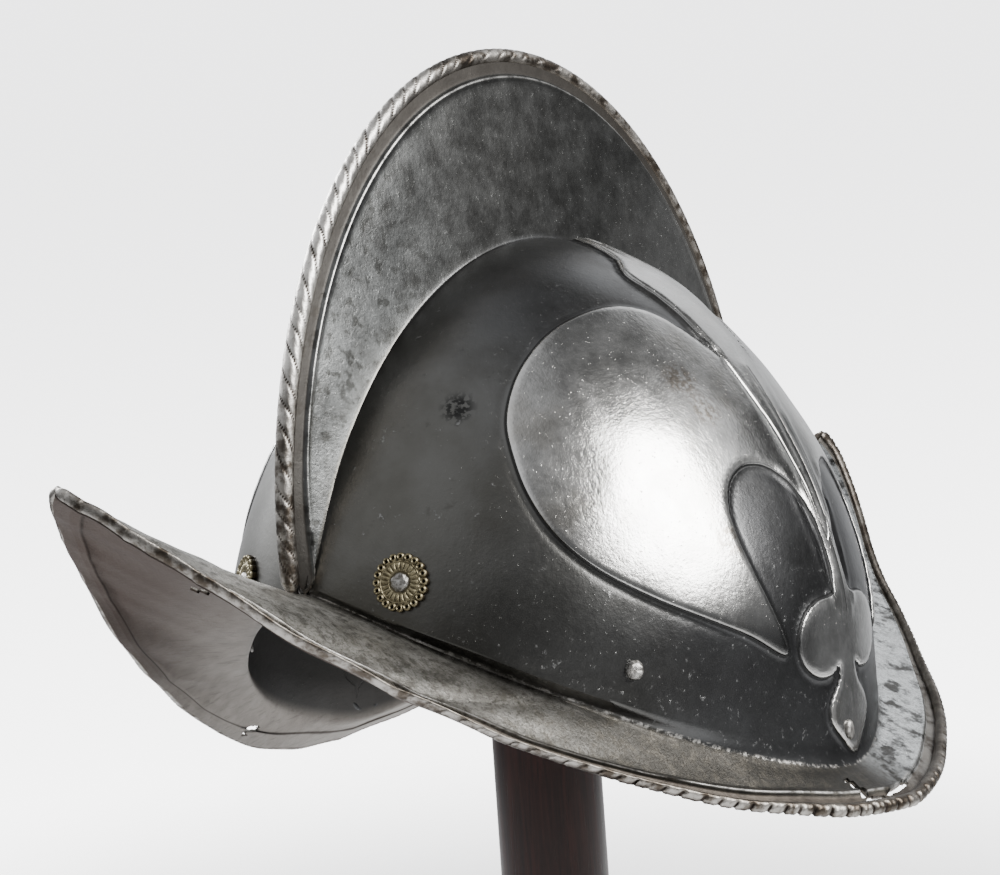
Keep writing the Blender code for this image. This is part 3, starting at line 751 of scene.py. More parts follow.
rim_turns = np.linspace(0, 180, 960)
rim_path = brim_centre(rim_turns)
rim_out = unit(rim_path - foot_line(rim_turns))
rim_out[[0, -1], 0] = 0.0
rim_depth = 0.05 + 0.33 * smooth(rim_turns, 30.0, 70.0)
brim_ropes = {}
for side, word in SIDES:
    flip = np.array([side, 1.0, 1.0])
    path, out = rim_path * flip, rim_out * flip
    across = unit(np.cross(tangents(path), out)) * side
    across[[0, -1]] = unit(across[[0, -1]] * (0, 1, 1))
    brim_ropes[word] = rope(f"brim_rope_{word}", path, out, across, roll_radius(rim_turns), BRIM_CUT_PITCH, 0,
                            rim_depth, (-0.2, 0.6), 4.0 + side)

# %% [markdown]
# ## Where the small pieces sit
# A rosette or a rivet lies flat on the skull, so each gets a frame whose Z axis is the skull's
# outward normal. Two short steps along the surface give that normal.

# %% Seats
def seat(turn, height, side):
    """A frame on the skull with its Z axis pointing outwards and its Y axis up the surface."""
    level, angle, step = BRIM_HEIGHT + height, math.radians(turn), 0.5 * MM
    flip = np.array([side, 1.0, 1.0])
    spot, after, before, above, below = (
        Vector(skull_at(angle + a / SKULL_WIDTH, level + b) * flip)
        for a, b in ((0, 0), (step, 0), (-step, 0), (0, step), (0, -step)))
    upward = (above - below).normalized()
    out = (after - before).cross(above - below).normalized() * side
    axes = Matrix((upward.cross(out), upward, out)).transposed().to_4x4()
    return Matrix.Translation(spot) @ axes


ROSETTES = (("front", 19.0, 69.0 * MM), ("back", 161.0, 69.0 * MM))
RIVETS = (("front", 51.5, 44.0 * MM), ("back", 128.5, 44.0 * MM))
SIDE_RIVET = (88.5, 18.5 * MM)
print("front rosette at, in mm:", [round(c / MM, 1) for c in seat(19.0, 69.0 * MM, 1).translation])


def deselect():
    """Leave edit mode and select nothing."""
    if bpy.context.mode != "OBJECT":
        bpy.ops.object.mode_set(mode="OBJECT")
    bpy.ops.object.select_all(action="DESELECT")


def settle(piece, frame, name):
    """Put the finished piece's place into its mesh and name it."""
    piece.data.transform(frame)
    piece.name = piece.data.name = name
    piece.data.shade_smooth()
    piece.data.set_sharp_from_angle(angle=math.radians(40))
    return piece


def twin(piece, frame, name):
    """A copy of a piece with its own mesh, at a frame."""
    copy = bpy.data.objects.new(name, piece.data.copy())
    bpy.context.scene.collection.objects.link(copy)
    return settle(copy, frame, name)


# %% [markdown]
# ## Brass rosettes
# Each chin strap's anchor is covered by a small brass rosette, no wider than a thumbnail: a ring of
# twenty little loops, a ring of petals, and a sunk ring round the rivet. By hand this is a disc
# with many insets. The rings and spokes that they leave are then lifted by a height that depends
# on the radius and the angle.

# %% Rosettes
ROSETTE_D = 15.0 * MM
PATTERN_D = 14.0 * MM
ROSETTE_SPOKES = 240
ROSETTE_RINGS = 24
LOBES = 20
PETALS = 22
LOBE_RADIUS = 0.98
LOBE_CENTRE = 5.95
SCALLOP_FROM = 4.8
ROSETTE_SINK = 0.7 * MM
SKIRT = 1.5 * MM


def rosette_height(radius, angle):
    """Height in mm of the rosette's face at a radius in mm."""
    lobe = 2 * math.pi / LOBES
    turned = (angle + lobe / 2) % lobe - lobe / 2
    away = math.hypot(radius - LOBE_CENTRE, LOBE_CENTRE * turned)
    loop = 0.55 * math.exp(-((away - 0.62) / 0.26) ** 2) - 0.35 * math.exp(-(away / 0.32) ** 2)
    loop *= min(max((radius - 4.7) / 0.4, 0), 1)
    petal = 0.5 * abs(math.cos(angle * PETALS / 2)) ** 0.6
    petal *= max(0.0, 1 - ((radius - 3.75) / 0.95) ** 4)
    ring = 0.35 * math.exp(-((radius - 4.85) / 0.18) ** 2) + 0.3 * math.exp(-((radius - 2.75) / 0.15) ** 2)
    return 0.75 + loop + petal + ring


def make_rosette():
    """Inset a disc into rings, lift them, and close the back."""
    deselect()
    radius = PATTERN_D / 2
    bpy.ops.mesh.primitive_circle_add(vertices=ROSETTE_SPOKES, radius=radius, fill_type="NGON")
    disc = bpy.context.object
    bpy.ops.object.mode_set(mode="EDIT")
    bpy.ops.mesh.select_all(action="SELECT")
    bpy.ops.mesh.extrude_region_move(TRANSFORM_OT_translate={"value": (0, 0, SKIRT)})
    for k in range(ROSETTE_RINGS):
        bpy.ops.mesh.inset(thickness=radius * 0.8 / ROSETTE_RINGS)
    bpy.ops.object.mode_set(mode="OBJECT")
    lobe = 2 * math.pi / LOBES
    for v in disc.data.vertices:
        reach, angle = math.hypot(v.co.x, v.co.y) / MM, math.atan2(v.co.y, v.co.x)
        turned = (angle + lobe / 2) % lobe - lobe / 2
        bulge = max(LOBE_RADIUS ** 2 - (LOBE_CENTRE * math.sin(turned)) ** 2, 0.05)
        edge = LOBE_CENTRE * math.cos(turned) + math.sqrt(bulge)
        share = min(max((reach - SCALLOP_FROM) / (radius / MM - SCALLOP_FROM), 0), 1)
        slim = 1 + (edge / (radius / MM) - 1) * share
        if v.co.z > 0:
            v.co.z += (rosette_height(reach * slim, angle) - 0.8) * MM
        v.co.x, v.co.y = v.co.x * slim, v.co.y * slim
    high = disc.data.attributes.new("high", "FLOAT", "POINT")
    high.data.foreach_set("value", [(v.co.z - SKIRT) / MM + 0.8 for v in disc.data.vertices])
    bm = bmesh.new()
    bm.from_mesh(disc.data)
    edges = [e for e in bm.edges if e.is_boundary]
    bmesh.ops.holes_fill(bm, edges=edges)
    bmesh.ops.recalc_face_normals(bm, faces=bm.faces)
    bm.to_mesh(disc.data)
    bm.free()
    disc.data.transform(Matrix.Scale(ROSETTE_D / PATTERN_D, 4))
    return disc


pattern = make_rosette()
pattern_height = max(v.co.z for v in pattern.data.vertices)
rosettes = {}
for side, word in SIDES:
    for spot, turn, height in ROSETTES:
        frame_here = seat(turn, height, side) @ Matrix.Translation((0, 0, -ROSETTE_SINK))
        rosettes[f"{spot}_{word}"] = twin(pattern, frame_here, f"brass_rosette_{spot}_{word}")
bpy.data.objects.remove(pattern)
faces_each = len(rosettes["front_left"].data.polygons)
print("four rosettes,", round(pattern_height / MM, 2), "mm high, with", faces_each, "faces each")

# %% [markdown]
# ## Rivets
# The rivets are plain iron: rough heads in the rosettes, small domes that hold the lining, and one
# flat oblong head in each lily's tail. A sphere pressed flat gives the head, and small uneven
# dents on it look like hammer marks.

# %% Rivets
ROSETTE_HEAD = (5.0 * MM, 5.0 * MM, 1.5 * MM, 0.16)
DOMED_HEAD = (4.8 * MM, 4.8 * MM, 2.1 * MM, 0.12)
TAIL_HEAD = (3.4 * MM, 5.2 * MM, 1.0 * MM, 0.12)
ROSETTE_HEAD_LIFT = 0.5 * MM
TAIL_HEAD_LIFT = 1.2 * MM


def make_head(width, tall, rise, rough, seed):
    """A hammered rivet head of a width and height, sunk half way into what carries it."""
    deselect()
    bpy.ops.mesh.primitive_uv_sphere_add(segments=40, ring_count=20, radius=1.0)
    head = bpy.context.object
    for v in head.data.vertices:
        bump = 1 + rough * noise.noise(v.co * 2.2 + Vector((seed, 0, 0)))
        flat = 1 - 0.22 * smooth(np.array(v.co.z), 0.72, 1.0)
        v.co = Vector((v.co.x * width / 2, v.co.y * tall / 2, v.co.z * rise * float(flat))) * bump
    return head


heads = {}
for side, word in SIDES:
    for spot, turn, height in ROSETTES:
        head = make_head(*ROSETTE_HEAD, side + turn)
        frame_here = seat(turn, height, side) @ Matrix.Translation((0, 0, ROSETTE_HEAD_LIFT))
        heads[f"rosette_rivet_{spot}_{word}"] = settle(head, frame_here, f"iron_head_{spot}_{word}")
    for spot, turn, height in RIVETS:
        head = make_head(*DOMED_HEAD, side * turn)
        heads[f"rivet_{spot}_{word}"] = settle(head, seat(turn, height, side), f"domed_rivet_{spot}_{word}")
    head = make_head(*TAIL_HEAD, side)
    frame_here = seat(*SIDE_RIVET, side) @ Matrix.Translation((0, 0, TAIL_HEAD_LIFT))
    heads[f"rivet_side_{word}"] = settle(head, frame_here, f"tail_rivet_{word}")
print("rivet heads made:", len(heads))

# %% [markdown]
# ## The stand
# A turned post with a rounded top goes up into the crown, and a plain round base carries it. The
# frame's post and base have the right shape but few sides, so both are made again with a smooth
# round.

# %% Stand
POST_D = 33.0 * MM
BASE_D = 180.0 * MM
BASE_THICKNESS = 22.0 * MM
BASE_EDGE = 5.0 * MM
POST_SETBACK = -15.0 * MM
post_low, post_high = (Vector(corner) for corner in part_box("stand_post"))


def turned_wood(name, diameter, low, high, edge, steps, sides):
    """A round post or disc whose top edge is rounded, ring by ring."""
    deselect()
    radius = diameter / 2
    bpy.ops.mesh.primitive_cylinder_add(vertices=sides, radius=radius, depth=high - low - edge,
                                        location=(0, 0, (high + low - edge) / 2))
    piece = bpy.context.object
    bpy.ops.object.transform_apply(location=True)
    for p in piece.data.polygons:
        p.select = p.normal.z > 0.9
    bpy.ops.object.mode_set(mode="EDIT")
    before, level = radius, 0.0
    for k in range(1, steps + 1):
        angle = math.pi / 2 * k / steps * 0.97
        reach, lift = radius - edge * (1 - math.cos(angle)), edge * math.sin(angle)
        bpy.ops.mesh.extrude_region_move(TRANSFORM_OT_translate={"value": (0, 0, lift - level)})
        bpy.ops.transform.resize(value=(reach / before, reach / before, 1), center_override=(0, 0, 0))
        before, level = reach, lift
    bpy.ops.object.mode_set(mode="OBJECT")
    return settle(piece, Matrix.Translation((0, POST_SETBACK, 0)), name)


post = turned_wood("turned_post", POST_D, post_low.z, post_high.z, POST_D / 2, 12, 96)
base = turned_wood("turned_base", BASE_D, 0.0, BASE_THICKNESS, BASE_EDGE, 6, 160)
print("post reaches up to, in mm:", round(post_high.z / MM, 1))

# %% [markdown]
# ## Writing a material as sums
# A material is a net of small nodes. In the node editor each is dragged and wired by hand, which is
# hard to read back. Here one small class wraps a socket, so that noise, masks and colours can be
# written as ordinary sums, and each sum adds its own nodes.

# %% Wires
class Wire:
    """One socket of a material's nodes."""

    def __init__(self, tree, socket=None):
        self.tree, self.socket = tree, socket

    def node(self, kind, settings=None, inputs=None, out=0):
        """Add a node: its type, its settings, then the values or wires of its sockets."""
        made = self.tree.nodes.new(kind)
        for key, value in (settings or {}).items():
            setattr(made, key, value)
        for key, value in (inputs or {}).items():
            if isinstance(value, Wire):
                self.tree.links.new(value.socket, made.inputs[key])
            else:
                made.inputs[key].default_value = value
        return Wire(self.tree, made.outputs[out])

    def sum(self, operation, *others):
        return self.node("ShaderNodeMath", {"operation": operation}, dict(enumerate((self, *others))))

    def __add__(self, other):
        return self.sum("ADD", other)

    def __mul__(self, other):
        return self.sum("MULTIPLY", other)

    def __sub__(self, other):
        return self.sum("SUBTRACT", other)

    def __rsub__(self, other):
        return self.node("ShaderNodeMath", {"operation": "SUBTRACT"}, {0: other, 1: self})

    def __truediv__(self, other):
        return self.sum("DIVIDE", other)

    __radd__, __rmul__ = __add__, __mul__

    def step(self, low, high):
        """A smooth step from 0 at low to 1 at high."""
        return self.node("ShaderNodeMapRange", {"interpolation_type": "SMOOTHSTEP"},
                         {"Value": self, "From Min": low, "From Max": high})

    def line(self, at, width):
        """1 along a line where this wire has a value, fading to 0 within a width."""
        return 1 - (self - at).sum("ABSOLUTE").step(0.0, width)

    def either(self, other):
        return self.sum("MAXIMUM", other)

    def blend(self, before, after):
        """A colour that goes from one to another as this wire goes from 0 to 1."""
        pair = [c if isinstance(c, Wire) else (*c, 1.0) for c in (before, after)]
        return self.node("ShaderNodeMix", {"data_type": "RGBA"}, {0: self, 6: pair[0], 7: pair[1]}, 2)

    def between(self, before, after):
        """A number that goes from one to another as this wire goes from 0 to 1."""
        return self.node("ShaderNodeMix", {"data_type": "FLOAT"}, {0: self, 2: before, 3: after})

    def stretched(self, x, y, z):
        """Coordinates drawn out along an axis."""
        return self.node("ShaderNodeVectorMath", {"operation": "MULTIPLY"}, {0: self, 1: (x, y, z)})

    def noise(self, size, detail=3.0, rough=0.55):
        """Soft clouds of a size in mm at these coordinates, from 0 to 1."""
        return self.node("ShaderNodeTexNoise", None,
                         {"Vector": self, "Scale": 1.0 / size, "Detail": detail, "Roughness": rough})

    def along(self, x, y, z):
        """How far these coordinates reach along a direction."""
        dot = {"operation": "DOT_PRODUCT"}
        return self.node("ShaderNodeVectorMath", dot, {0: self, 1: (x, y, z)}, "Value")

    def near(self, point, reach):
        """1 at a point, fading to 0 at a distance from it."""
        away = self.node("ShaderNodeVectorMath", {"operation": "DISTANCE"}, {0: self, 1: point}, "Value")
        return 1 - away.step(reach * 0.3, reach)


def new_material(name):
    """An empty Principled material and its coordinates in mm."""
    made = bpy.data.materials.new(name)
    made.use_nodes = True
    tree = made.node_tree
    place = Wire(tree).node("ShaderNodeTexCoord", None, None, "Object").stretched(1000.0, 1000.0, 1000.0)
    return made, tree, place


def finish(tree, colour, roughness, metallic, height, strength=1.0):
    """Wire the results to the shader. The height is in mm."""
    shader = tree.nodes["Principled BSDF"]
    bump = Wire(tree).node("ShaderNodeBump", None, {"Height": height, "Strength": strength, "Distance": MM})
    wires = {"Base Color": colour, "Roughness": roughness, "Metallic": metallic, "Normal": bump}
    for key, value in wires.items():
        if isinstance(value, Wire):
            tree.links.new(value.socket, shader.inputs[key])
        else:
            shader.inputs[key].default_value = value
    return shader


def mark(place, name):
    """One of the sheet's own distances, in mm."""
    return place.node("ShaderNodeAttribute", {"attribute_name": name}, None, "Fac")


# %% [markdown]
# ## Iron in five states
# The same sheet shows five finishes. The skull is blackened, with a soft sheen, scuffs and one dark scar. The
# lily is ground bright and brushed, with a few brown stains, and painted shade darkens its lower tips. The
# comb is dull grey with darker spots that gather towards its front. The brim is pitted grey, darker at the
# side with painted shade, and rubbed bright along its back half, and its underside is bare and brownish, with
# painted shade towards the front peak.
# The sunk bands have kept dirt that no rag reaches. The distances measured on the sheet say where
# each one lies, so every border is as sharp as the real cut.
#
# Some places are darker or lighter than the rest in the photograph: the spear, the stem, the petals' tips,
# the side of the brim, the low back of the comb, and also the sides, a cheek and the front of the skull, the
# front of the brim's underside and the front of the comb's roll. Each is given as colour at its own place,
# fitted to that one view. The darker ones are painted shade, and the lighter or warmer ones are painted
# highlights and reflections, so they stay in place from another side, where on the real helmet the light
# would move.

# %% Sheet iron
STAINS = (
    # point, reach
    ((68.5, -30.1, 222.6), 8.0),
    ((74.0, -28.0, 214.0), 7.0),
    ((86.1, -39.1, 180.0), 6.0),
    ((60.0, -62.0, 221.0), 5.0),
)
SCAR = ((33.1, -80.3, 218.7), 6.0)
PAINTED_CHEEK_SHEEN = ((61.0, -84.0, 166.0), 26.0)
PAINTED_SPEAR_SHADE = ((60.0, 3.0, 240.0), 32.0)
PAINTED_STEM_SHADE = ((85.0, -3.0, 202.0), 24.0)
SOOT = (0.045, 0.045, 0.046)
PAINTED_SIDE_SHADE = (0.045, 0.046, 0.049)
BARE_EDGE = (0.60, 0.58, 0.55)


def sheet_iron():
    """The blackened, polished and pitted iron of the half shells."""
    made, tree, place = new_material("worked iron sheet")
    lily, spear, rib, rim = (mark(place, key) for key in ("lily", "spear", "rib", "rim"))
    crease, brim, inside = (mark(place, key) for key in ("crease", "brim", "inside"))
    cloud, patch = place.noise(22.0, 4.0, 0.6), place.noise(7.0, 5.0, 0.65)
    grain, speck = place.noise(1.6, 3.0, 0.6), place.noise(0.7, 2.0, 0.5)
    upright = place.stretched(1.0, 1.0, 0.12).noise(1.3, 2.0, 0.5)
    flow = place.stretched(1.0, 0.1, 1.0).noise(1.1, 2.0, 0.5)
    forward = place.along(0.0, -1.0, -0.35).step(-75.0, 5.0)

    on_comb, on_brim = crease.step(-0.4, 1.2), (brim + (patch - 0.5) * 3.0).step(-0.6, 0.6)
    on_lily = lily.step(-0.55, -0.15)
    cut = lily.line(-0.75, 0.55) * (1 - on_brim)
    lip_wear_and_highlight = lily.line(0.1, 0.5)
    band = 1 - rim.step(4.4, 5.2)
    bead = rim.line(5.8, 0.5)

    sideways = place.along(1.0, 0.0, 0.0).sum("ABSOLUTE").step(58.0, 96.0)
    forwards = place.along(0.0, -1.0, 0.0)
    low = place.along(0.0, 0.0, -1.0)
    black = cloud.step(0.3, 0.7).blend((0.084, 0.083, 0.081), (0.138, 0.139, 0.140))
    black = (patch.step(0.62, 0.72) * 0.5).blend(black, SOOT)
    # painted shade: the blackened skull is made darker towards its sides
    black = (sideways * 0.6).blend(black, PAINTED_SIDE_SHADE)
    # painted sheen: a patch on the skull's cheek is made lighter grey
    black = (place.near(*PAINTED_CHEEK_SHEEN) * 0.45).blend(black, (0.19, 0.195, 0.20))
    # painted warm reflection: the skull is made warmer towards its front
    black = (forwards.step(50.0, 100.0) * 0.5).blend(black, (0.122, 0.116, 0.098))
    scuff = grain.step(0.62, 0.72) * (patch + low.step(-185.0, -150.0) * 0.10).step(0.5, 0.64)
    black = (scuff * 0.6).blend(black, (0.32, 0.32, 0.32))
    black = (place.near(*SCAR) * grain.step(0.42, 0.55) * 0.9).blend(black, (0.018, 0.018, 0.018))
    bright = patch.step(0.3, 0.75).blend((0.54, 0.535, 0.52), (0.72, 0.715, 0.70))
    bright = (cloud.step(0.52, 0.72) * 0.4).blend(bright, (0.42, 0.39, 0.34))
    pit = speck.step(0.66, 0.73) * grain.step(0.5, 0.62)
    bright = (pit * 0.8).blend(bright, (0.16, 0.13, 0.11))
    for spot, reach in STAINS:
        bright = (place.near(spot, reach) * grain.step(0.38, 0.6) * 0.75).blend(bright, (0.20, 0.16, 0.12))
    painted_tip_shade = low.step(-176.0, -150.0) * forwards.step(10.0, 26.0)
    # painted shade: the spear is made a darker grey than the rest of the lily
    bright = (place.near(*PAINTED_SPEAR_SHADE) * 0.45).blend(bright, (0.34, 0.34, 0.335))
    # painted shade: the stem is made darker than the rest of the lily
    bright = (place.near(*PAINTED_STEM_SHADE) * 0.8).blend(bright, (0.20, 0.20, 0.195))
    # painted shade: the lily's lower tips at the front are made nearly black
    bright = (painted_tip_shade * 0.95).blend(bright, (0.06, 0.06, 0.06))
    dull = patch.step(0.3, 0.72).blend((0.066, 0.066, 0.064), (0.108, 0.109, 0.107))
    spots = place.noise(3.4, 2.0, 0.5).step(0.53, 0.68) * forward
    fine = place.noise(1.8, 4.0, 0.7).step(0.52, 0.66) * forward
    dull = (forward * patch.step(0.16, 0.74) * 0.8).blend(dull, (0.18, 0.187, 0.187))
    # painted highlight: the comb is made lighter low down at its back
    dull = (place.along(0.0, 1.0, -1.0).step(-262.0, -195.0) * 0.8).blend(dull, (0.25, 0.25, 0.245))
    dull = (spots * 0.8).blend(dull, (0.045, 0.045, 0.042))
    dull = (fine * 0.35).blend(dull, (0.085, 0.086, 0.084))
    brim_wear_and_shade = patch.step(0.32, 0.7).blend((0.33, 0.318, 0.288), (0.50, 0.488, 0.458))
    # painted shade: the left half's brim is made dark from its side towards the back
    brim_wear_and_shade = place.along(0.94, 0.34, 0.0).step(-20.0, 54.0).blend(brim_wear_and_shade, (0.045, 0.043, 0.039))
    rubbed = place.along(0.0, 1.0, 0.0).step(-6.0, 22.0)
    brim_wear_and_shade = (rubbed * patch.step(0.38, 0.52)).blend(brim_wear_and_shade, (0.80, 0.82, 0.82))
    mottle = place.noise(3.4, 6.0, 0.75).step(0.46, 0.62) * (0.7 - rubbed * 0.4)
    brim_wear_and_shade = mottle.blend(brim_wear_and_shade, (0.085, 0.078, 0.066))
    rust = place.noise(0.8, 4.0, 0.75).step(0.44, 0.66) * on_brim * (1 - rubbed * 0.6)
    brim_wear_and_shade = (rust * 0.6).blend(brim_wear_and_shade, (0.050, 0.046, 0.040))
    dirt = patch.step(0.35, 0.7).blend((0.055, 0.045, 0.037), (0.125, 0.107, 0.088))
    dirt = (on_comb * 0.9).blend(dirt, (0.026, 0.022, 0.018))
    bare = patch.step(0.25, 0.75).blend((0.20, 0.180, 0.160), (0.30, 0.277, 0.250))
    # painted shade: the brim's underside is made dark towards the front peak
    bare = (forwards.step(88.0, 145.0) * 0.92).blend(bare, (0.062, 0.046, 0.040))
    bare = (flow.step(0.55, 0.7) * 0.35).blend(bare, (0.085, 0.072, 0.062))

    colour = on_lily.blend(black, bright)
    # painted shadow: the cut line round the lily is made nearly black
    colour = (cut * 0.9).blend(colour, (0.02, 0.02, 0.02))
    # the lip inside the lily's edge is worn bright and also carries a painted highlight
    colour = (lip_wear_and_highlight * 0.25).blend(colour, (0.80, 0.79, 0.77))
    colour = (rib.line(0.0, 0.5) * on_lily * 0.7).blend(colour, (0.10, 0.095, 0.09))
    colour = on_comb.blend(colour, dull)
    colour = on_brim.blend(colour, brim_wear_and_shade)
    border = brim.line(0.0, 0.8) * grain.step(0.46, 0.62)
    colour = (border * 0.8).blend(colour, BARE_EDGE)
    colour = (band * 0.85).blend(colour, dirt)
    colour = (bead * (1 - band) * patch.step(0.35, 0.6) * 0.7).blend(colour, (0.60, 0.59, 0.57))
    under = inside.step(0.4, 0.6)
    bare = (rim.line(8.4, 0.9) * 0.85).blend(bare, (0.03, 0.022, 0.018))
    hollow = (1 - brim.step(-4.0, 3.0)).blend(bare, (0.045, 0.043, 0.041))
    colour = under.blend(colour, hollow)

    roughness = on_lily.between(0.32, 0.20)
    roughness = on_comb.between(roughness, 0.34)
    roughness = on_brim.between(roughness, rubbed.between(0.44, 0.24))
    roughness = (band.either(cut) * 0.9).between(roughness, 0.5)
    roughness = under.between(roughness, 0.5) + (patch - 0.5) * 0.12 + (grain - 0.5) * 0.08

    height = (grain - 0.5) * 0.06 + (speck - 0.5) * 0.03
    height = height - (spots * 0.012 + fine * 0.02) * on_comb - pit * 0.05
    granular = (place.noise(1.4, 5.0, 0.8) - 0.5) * 0.16
    height = height - rust * 0.035 + granular * on_brim * (1 - under)
    height = height + upright * 0.02 * on_lily + flow * 0.03 * under + scuff * 0.04 * (1 - on_lily)
    height = height + on_lily * 0.26 - cut * 0.10 + lip_wear_and_highlight * 0.03
    height = height - rib.line(0.0, 0.7) * 0.18 * (1 - on_comb) - spear.line(0.0, 0.6) * 0.15
    finish(tree, colour, roughness, 1.0 - band * 0.3, height, 0.9)
    return made


iron = sheet_iron()
for piece in shells.values():
    piece.data.materials.append(iron)
print("sheet iron has", len(iron.node_tree.nodes), "nodes")

# %% [markdown]
# ## Roped iron, rivets and brass
# On the rolls the high pads are rubbed bright, and high on the front of the comb they also carry a painted
# highlight. The cuts are dark with old rust. The rivets are plain grey iron. Brass goes dull brown in its
# hollows and stays yellow where a cloth touches it, which the height of each point above the rosette's back
# tells.

# %% Small metals
def roped_iron():
    """Rubbed pads, a painted highlight high on the front of the comb's roll, and dark cuts along the rolls.
    """
    made, tree, place = new_material("roped iron")
    cut, outer = mark(place, "cut"), mark(place, "outer")
    patch, grain = place.noise(5.0, 4.0, 0.6), place.noise(0.9, 3.0, 0.6)
    colour = patch.step(0.35, 0.7).blend((0.075, 0.062, 0.050), (0.21, 0.19, 0.165))
    # painted highlight: high on the front of the comb the roll's pads are made bright, on top of pads rubbed
    # bright at random
    rubbed = place.along(0.0, -1.0, 0.3).step(130.0, 165.0) * place.along(0.0, 0.0, 1.0).step(205.0, 245.0)
    rubbed = patch.step(0.4, 0.62) * 0.4 + rubbed * 0.6
    colour = (outer * rubbed).blend(colour, (0.74, 0.72, 0.69))
    colour = (grain.step(0.55, 0.7) * 0.5).blend(colour, (0.09, 0.072, 0.058))
    colour = cut.step(0.2, 0.7).blend(colour, (0.04, 0.032, 0.027))
    roughness = 0.32 + patch * 0.16 + cut * 0.2
    finish(tree, colour, roughness, 1.0, (grain - 0.5) * 0.10 - cut * 0.12, 0.9)
    return made


def plain_iron():
    """Grey hammered rivets."""
    made, tree, place = new_material("rivet iron")
    patch, grain = place.noise(1.8, 3.0, 0.6), place.noise(0.5, 3.0, 0.6)
    colour = patch.step(0.3, 0.7).blend((0.16, 0.15, 0.14), (0.48, 0.47, 0.45))
    colour = (grain.step(0.58, 0.68) * 0.6).blend(colour, (0.06, 0.05, 0.042))
    finish(tree, colour, 0.34 + patch * 0.2, 1.0, (grain - 0.5) * 0.14 + (patch - 0.5) * 0.2, 1.0)
    return made


def aged_brass():
    """Brass that is dark in its hollows."""
    made, tree, place = new_material("aged brass")
    high = mark(place, "high")
    patch, grain = place.noise(1.6, 3.0, 0.6), place.noise(0.4, 2.0, 0.6)
    colour = patch.step(0.3, 0.7).blend((0.17, 0.145, 0.09), (0.31, 0.275, 0.18))
    colour = (1 - high.step(0.55, 1.05)).blend(colour, (0.045, 0.034, 0.02))
    finish(tree, colour, 0.36 + patch * 0.18, 0.95, (grain - 0.5) * 0.05, 1.0)
    return made


rope_iron, rivet_iron, brass = roped_iron(), plain_iron(), aged_brass()
for piece in [comb_rope, *brim_ropes.values()]:
    piece.data.materials.append(rope_iron)
for piece in heads.values():
    piece.data.materials.append(rivet_iron)
for piece in rosettes.values():
    piece.data.materials.append(brass)
print("small metals:", rope_iron.name, "/", rivet_iron.name, "/", brass.name)

# %% [markdown]
# ## Stained wood
# The post is dark red-brown wood under a thin varnish. Its grain runs up the post, and on the base
# it runs across. A coat over a rougher wood gives the soft streak of light that varnish shows.

# %% Wood
def stained_wood(name, along):
    """Dark varnished wood with its grain drawn out along an axis."""
    made, tree, place = new_material(name)
    grain = place.stretched(*along).noise(2.4, 5.0, 0.6)
    pore = place.stretched(*along).noise(0.7, 3.0, 0.6)
    tone = place.noise(40.0, 2.0, 0.5)
    colour = grain.step(0.3, 0.72).blend((0.011, 0.0035, 0.003), (0.040, 0.012, 0.009))
    colour = (tone * 0.4).blend(colour, (0.022, 0.007, 0.005))
    colour = (pore.step(0.6, 0.7) * 0.6).blend(colour, (0.010, 0.004, 0.003))
    height = (grain - 0.5) * 0.10 - pore.step(0.6, 0.7) * 0.06
    shader = finish(tree, colour, 0.34 + grain * 0.16, 0.0, height, 0.7)
    shader.inputs["Coat Weight"].default_value = 0.12
    shader.inputs["Specular IOR Level"].default_value = 0.25
    shader.inputs["Coat Roughness"].default_value = 0.22
    return made


post.data.materials.append(stained_wood("stained wood of the post", (1.0, 1.0, 0.06)))
base.data.materials.append(stained_wood("stained wood of the base", (1.0, 0.06, 1.0)))
print("wood on", post.name, "and", base.name)

# %% [markdown]
# ## Floor and light
# Metal shows its surroundings, so the light is half of the finish. A large soft light stands on the
# right, and a smaller one on the left that reaches the comb's far side. The room round them is dim,
# with a few soft glows that the iron mirrors: each has a direction, how near to it the glow starts
# and is full, and a strength. Their directions were fitted so that the highlights fall as in the
# photograph. The camera sees a plain pale backdrop in place of the room, and the floor is a pale disc
# that fades into it.

# %% Floor and light
FLOOR_RADIUS = 0.8
BACKDROP_TOP = (3.5, 3.5, 3.55)
BACKDROP_FOOT = (6.2, 6.2, 6.2)
FADE_FROM, FADE_TO = 120.0, 620.0
ROOM_LEVEL = 0.12
BRIGHTEST = 6.0
GLOWS = (
    # direction, starts, full, strength
    ((-0.55, 0.80, 0.15), 0.5, 0.98, 0.85),
    ((0.0, 0.76, 0.65), 0.93, 0.995, 0.85),
    ((0.93, 0.30, 0.12), 0.80, 0.98, 0.2),
    ((-0.3, -0.62, 0.72), 0.5, 0.95, 0.75),
    ((0.60, 0.54, 0.59), 0.965, 0.998, 0.8),
    ((0.0, 0.0, -1.0), 0.1, 0.8, 0.25),
    ((-0.85, -0.1, 0.5), 0.85, 0.98, 2.5),
)


def add_floor():
    """A pale floor that fades out with distance."""
    deselect()
    bpy.ops.mesh.primitive_circle_add(vertices=128, radius=FLOOR_RADIUS, fill_type="TRIFAN")
    floor = bpy.context.object
    floor.name = "pale_floor"
    made, tree, place = new_material("pale floor")
    away = place.node("ShaderNodeVectorMath", {"operation": "LENGTH"}, {0: place}, "Value")
    grain = place.noise(60.0, 2.0, 0.5)
    shader = finish(tree, grain.blend((0.78, 0.785, 0.79), (0.82, 0.825, 0.83)), 0.8, 0.0, grain * 0.02, 0.5)
    tree.links.new((1 - away.step(FADE_FROM, FADE_TO)).socket, shader.inputs["Alpha"])
    shader.inputs["Emission Color"].default_value = (1.0, 1.0, 1.0, 1.0)
    shader.inputs["Emission Strength"].default_value = 0.4
    floor.data.materials.append(made)
    return floor


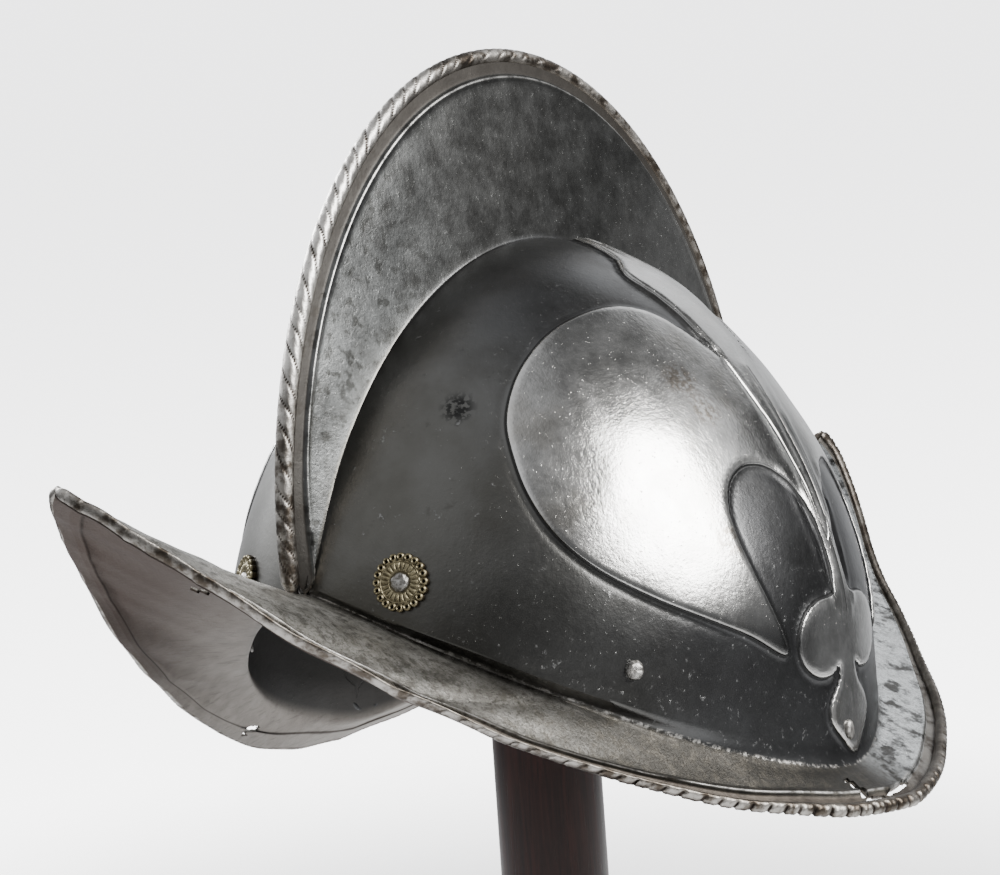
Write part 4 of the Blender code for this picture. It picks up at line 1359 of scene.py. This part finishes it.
def add_world():
    """A pale backdrop, and a room that is brighter at the back and darker beside the camera."""
    world = bpy.data.worlds.new("studio")
    bpy.context.scene.world = world
    world.use_nodes = True
    tree = world.node_tree
    way = Wire(tree).node("ShaderNodeTexCoord", None, None, "Generated")

    def towards(direction):
        """How far a look into the room points in a direction, up to 1."""
        return way.along(*Vector(direction).normalized())

    level = ROOM_LEVEL
    for direction, starts, full, strength in GLOWS:
        level = level + towards(direction).step(starts, full) * strength
    share, white = level / BRIGHTEST, (5.9, 6.0, 6.15)
    room = share.blend((0.0, 0.0, 0.0), white)
    backdrop = towards((0.0, 0.0, 1.0)).step(-0.3, 0.25).blend(BACKDROP_FOOT, BACKDROP_TOP)
    seen = way.node("ShaderNodeLightPath", None, None, "Is Camera Ray")
    both = seen.blend(room, backdrop)
    tree.links.new(both.socket, tree.nodes["Background"].inputs["Color"])


def add_light(name, way, distance, radius, power, tint):
    """A round soft light that looks at the helmet."""
    aim = Vector(way).normalized()
    bpy.ops.object.light_add(type="AREA", location=aim * distance + Vector((0, 0, 0.2)))
    light = bpy.context.object
    light.name = name
    light.rotation_euler = aim.to_track_quat("Z", "Y").to_euler()
    light.data.shape, light.data.size = "DISK", radius * 2
    light.data.energy, light.data.color = power, tint
    light.visible_camera = False
    return light


floor = add_floor()
add_world()
add_light("key light", (0.84, 0.10, 0.50), 1.3, 0.42, 36.0, (1.0, 0.99, 0.97))
add_light("left light", (-0.82, -0.06, 0.55), 1.3, 0.28, 18.0, (0.97, 0.98, 1.0))

# %% [markdown]
# ## Riding on the frame
# Every piece rides on the frame's one body, and the frame's plain solid that it replaces is hidden, so their
# collision stays.

# %% Hand over
for word, piece in shells.items():
    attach(piece, "root")
    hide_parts(f"shell_{word}")
for word, piece in brim_ropes.items():
    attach(piece, "root")
    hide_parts(f"shell_{word}")
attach(comb_rope, "root")
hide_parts("comb_roll")
for word, piece in rosettes.items():
    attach(piece, "root")
    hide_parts(f"rosette_{word}")
for node, piece in heads.items():
    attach(piece, "root")
    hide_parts(node)
for piece, node in ((post, "stand_post"), (base, "stand_base")):
    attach(piece, "root")
    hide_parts(node)
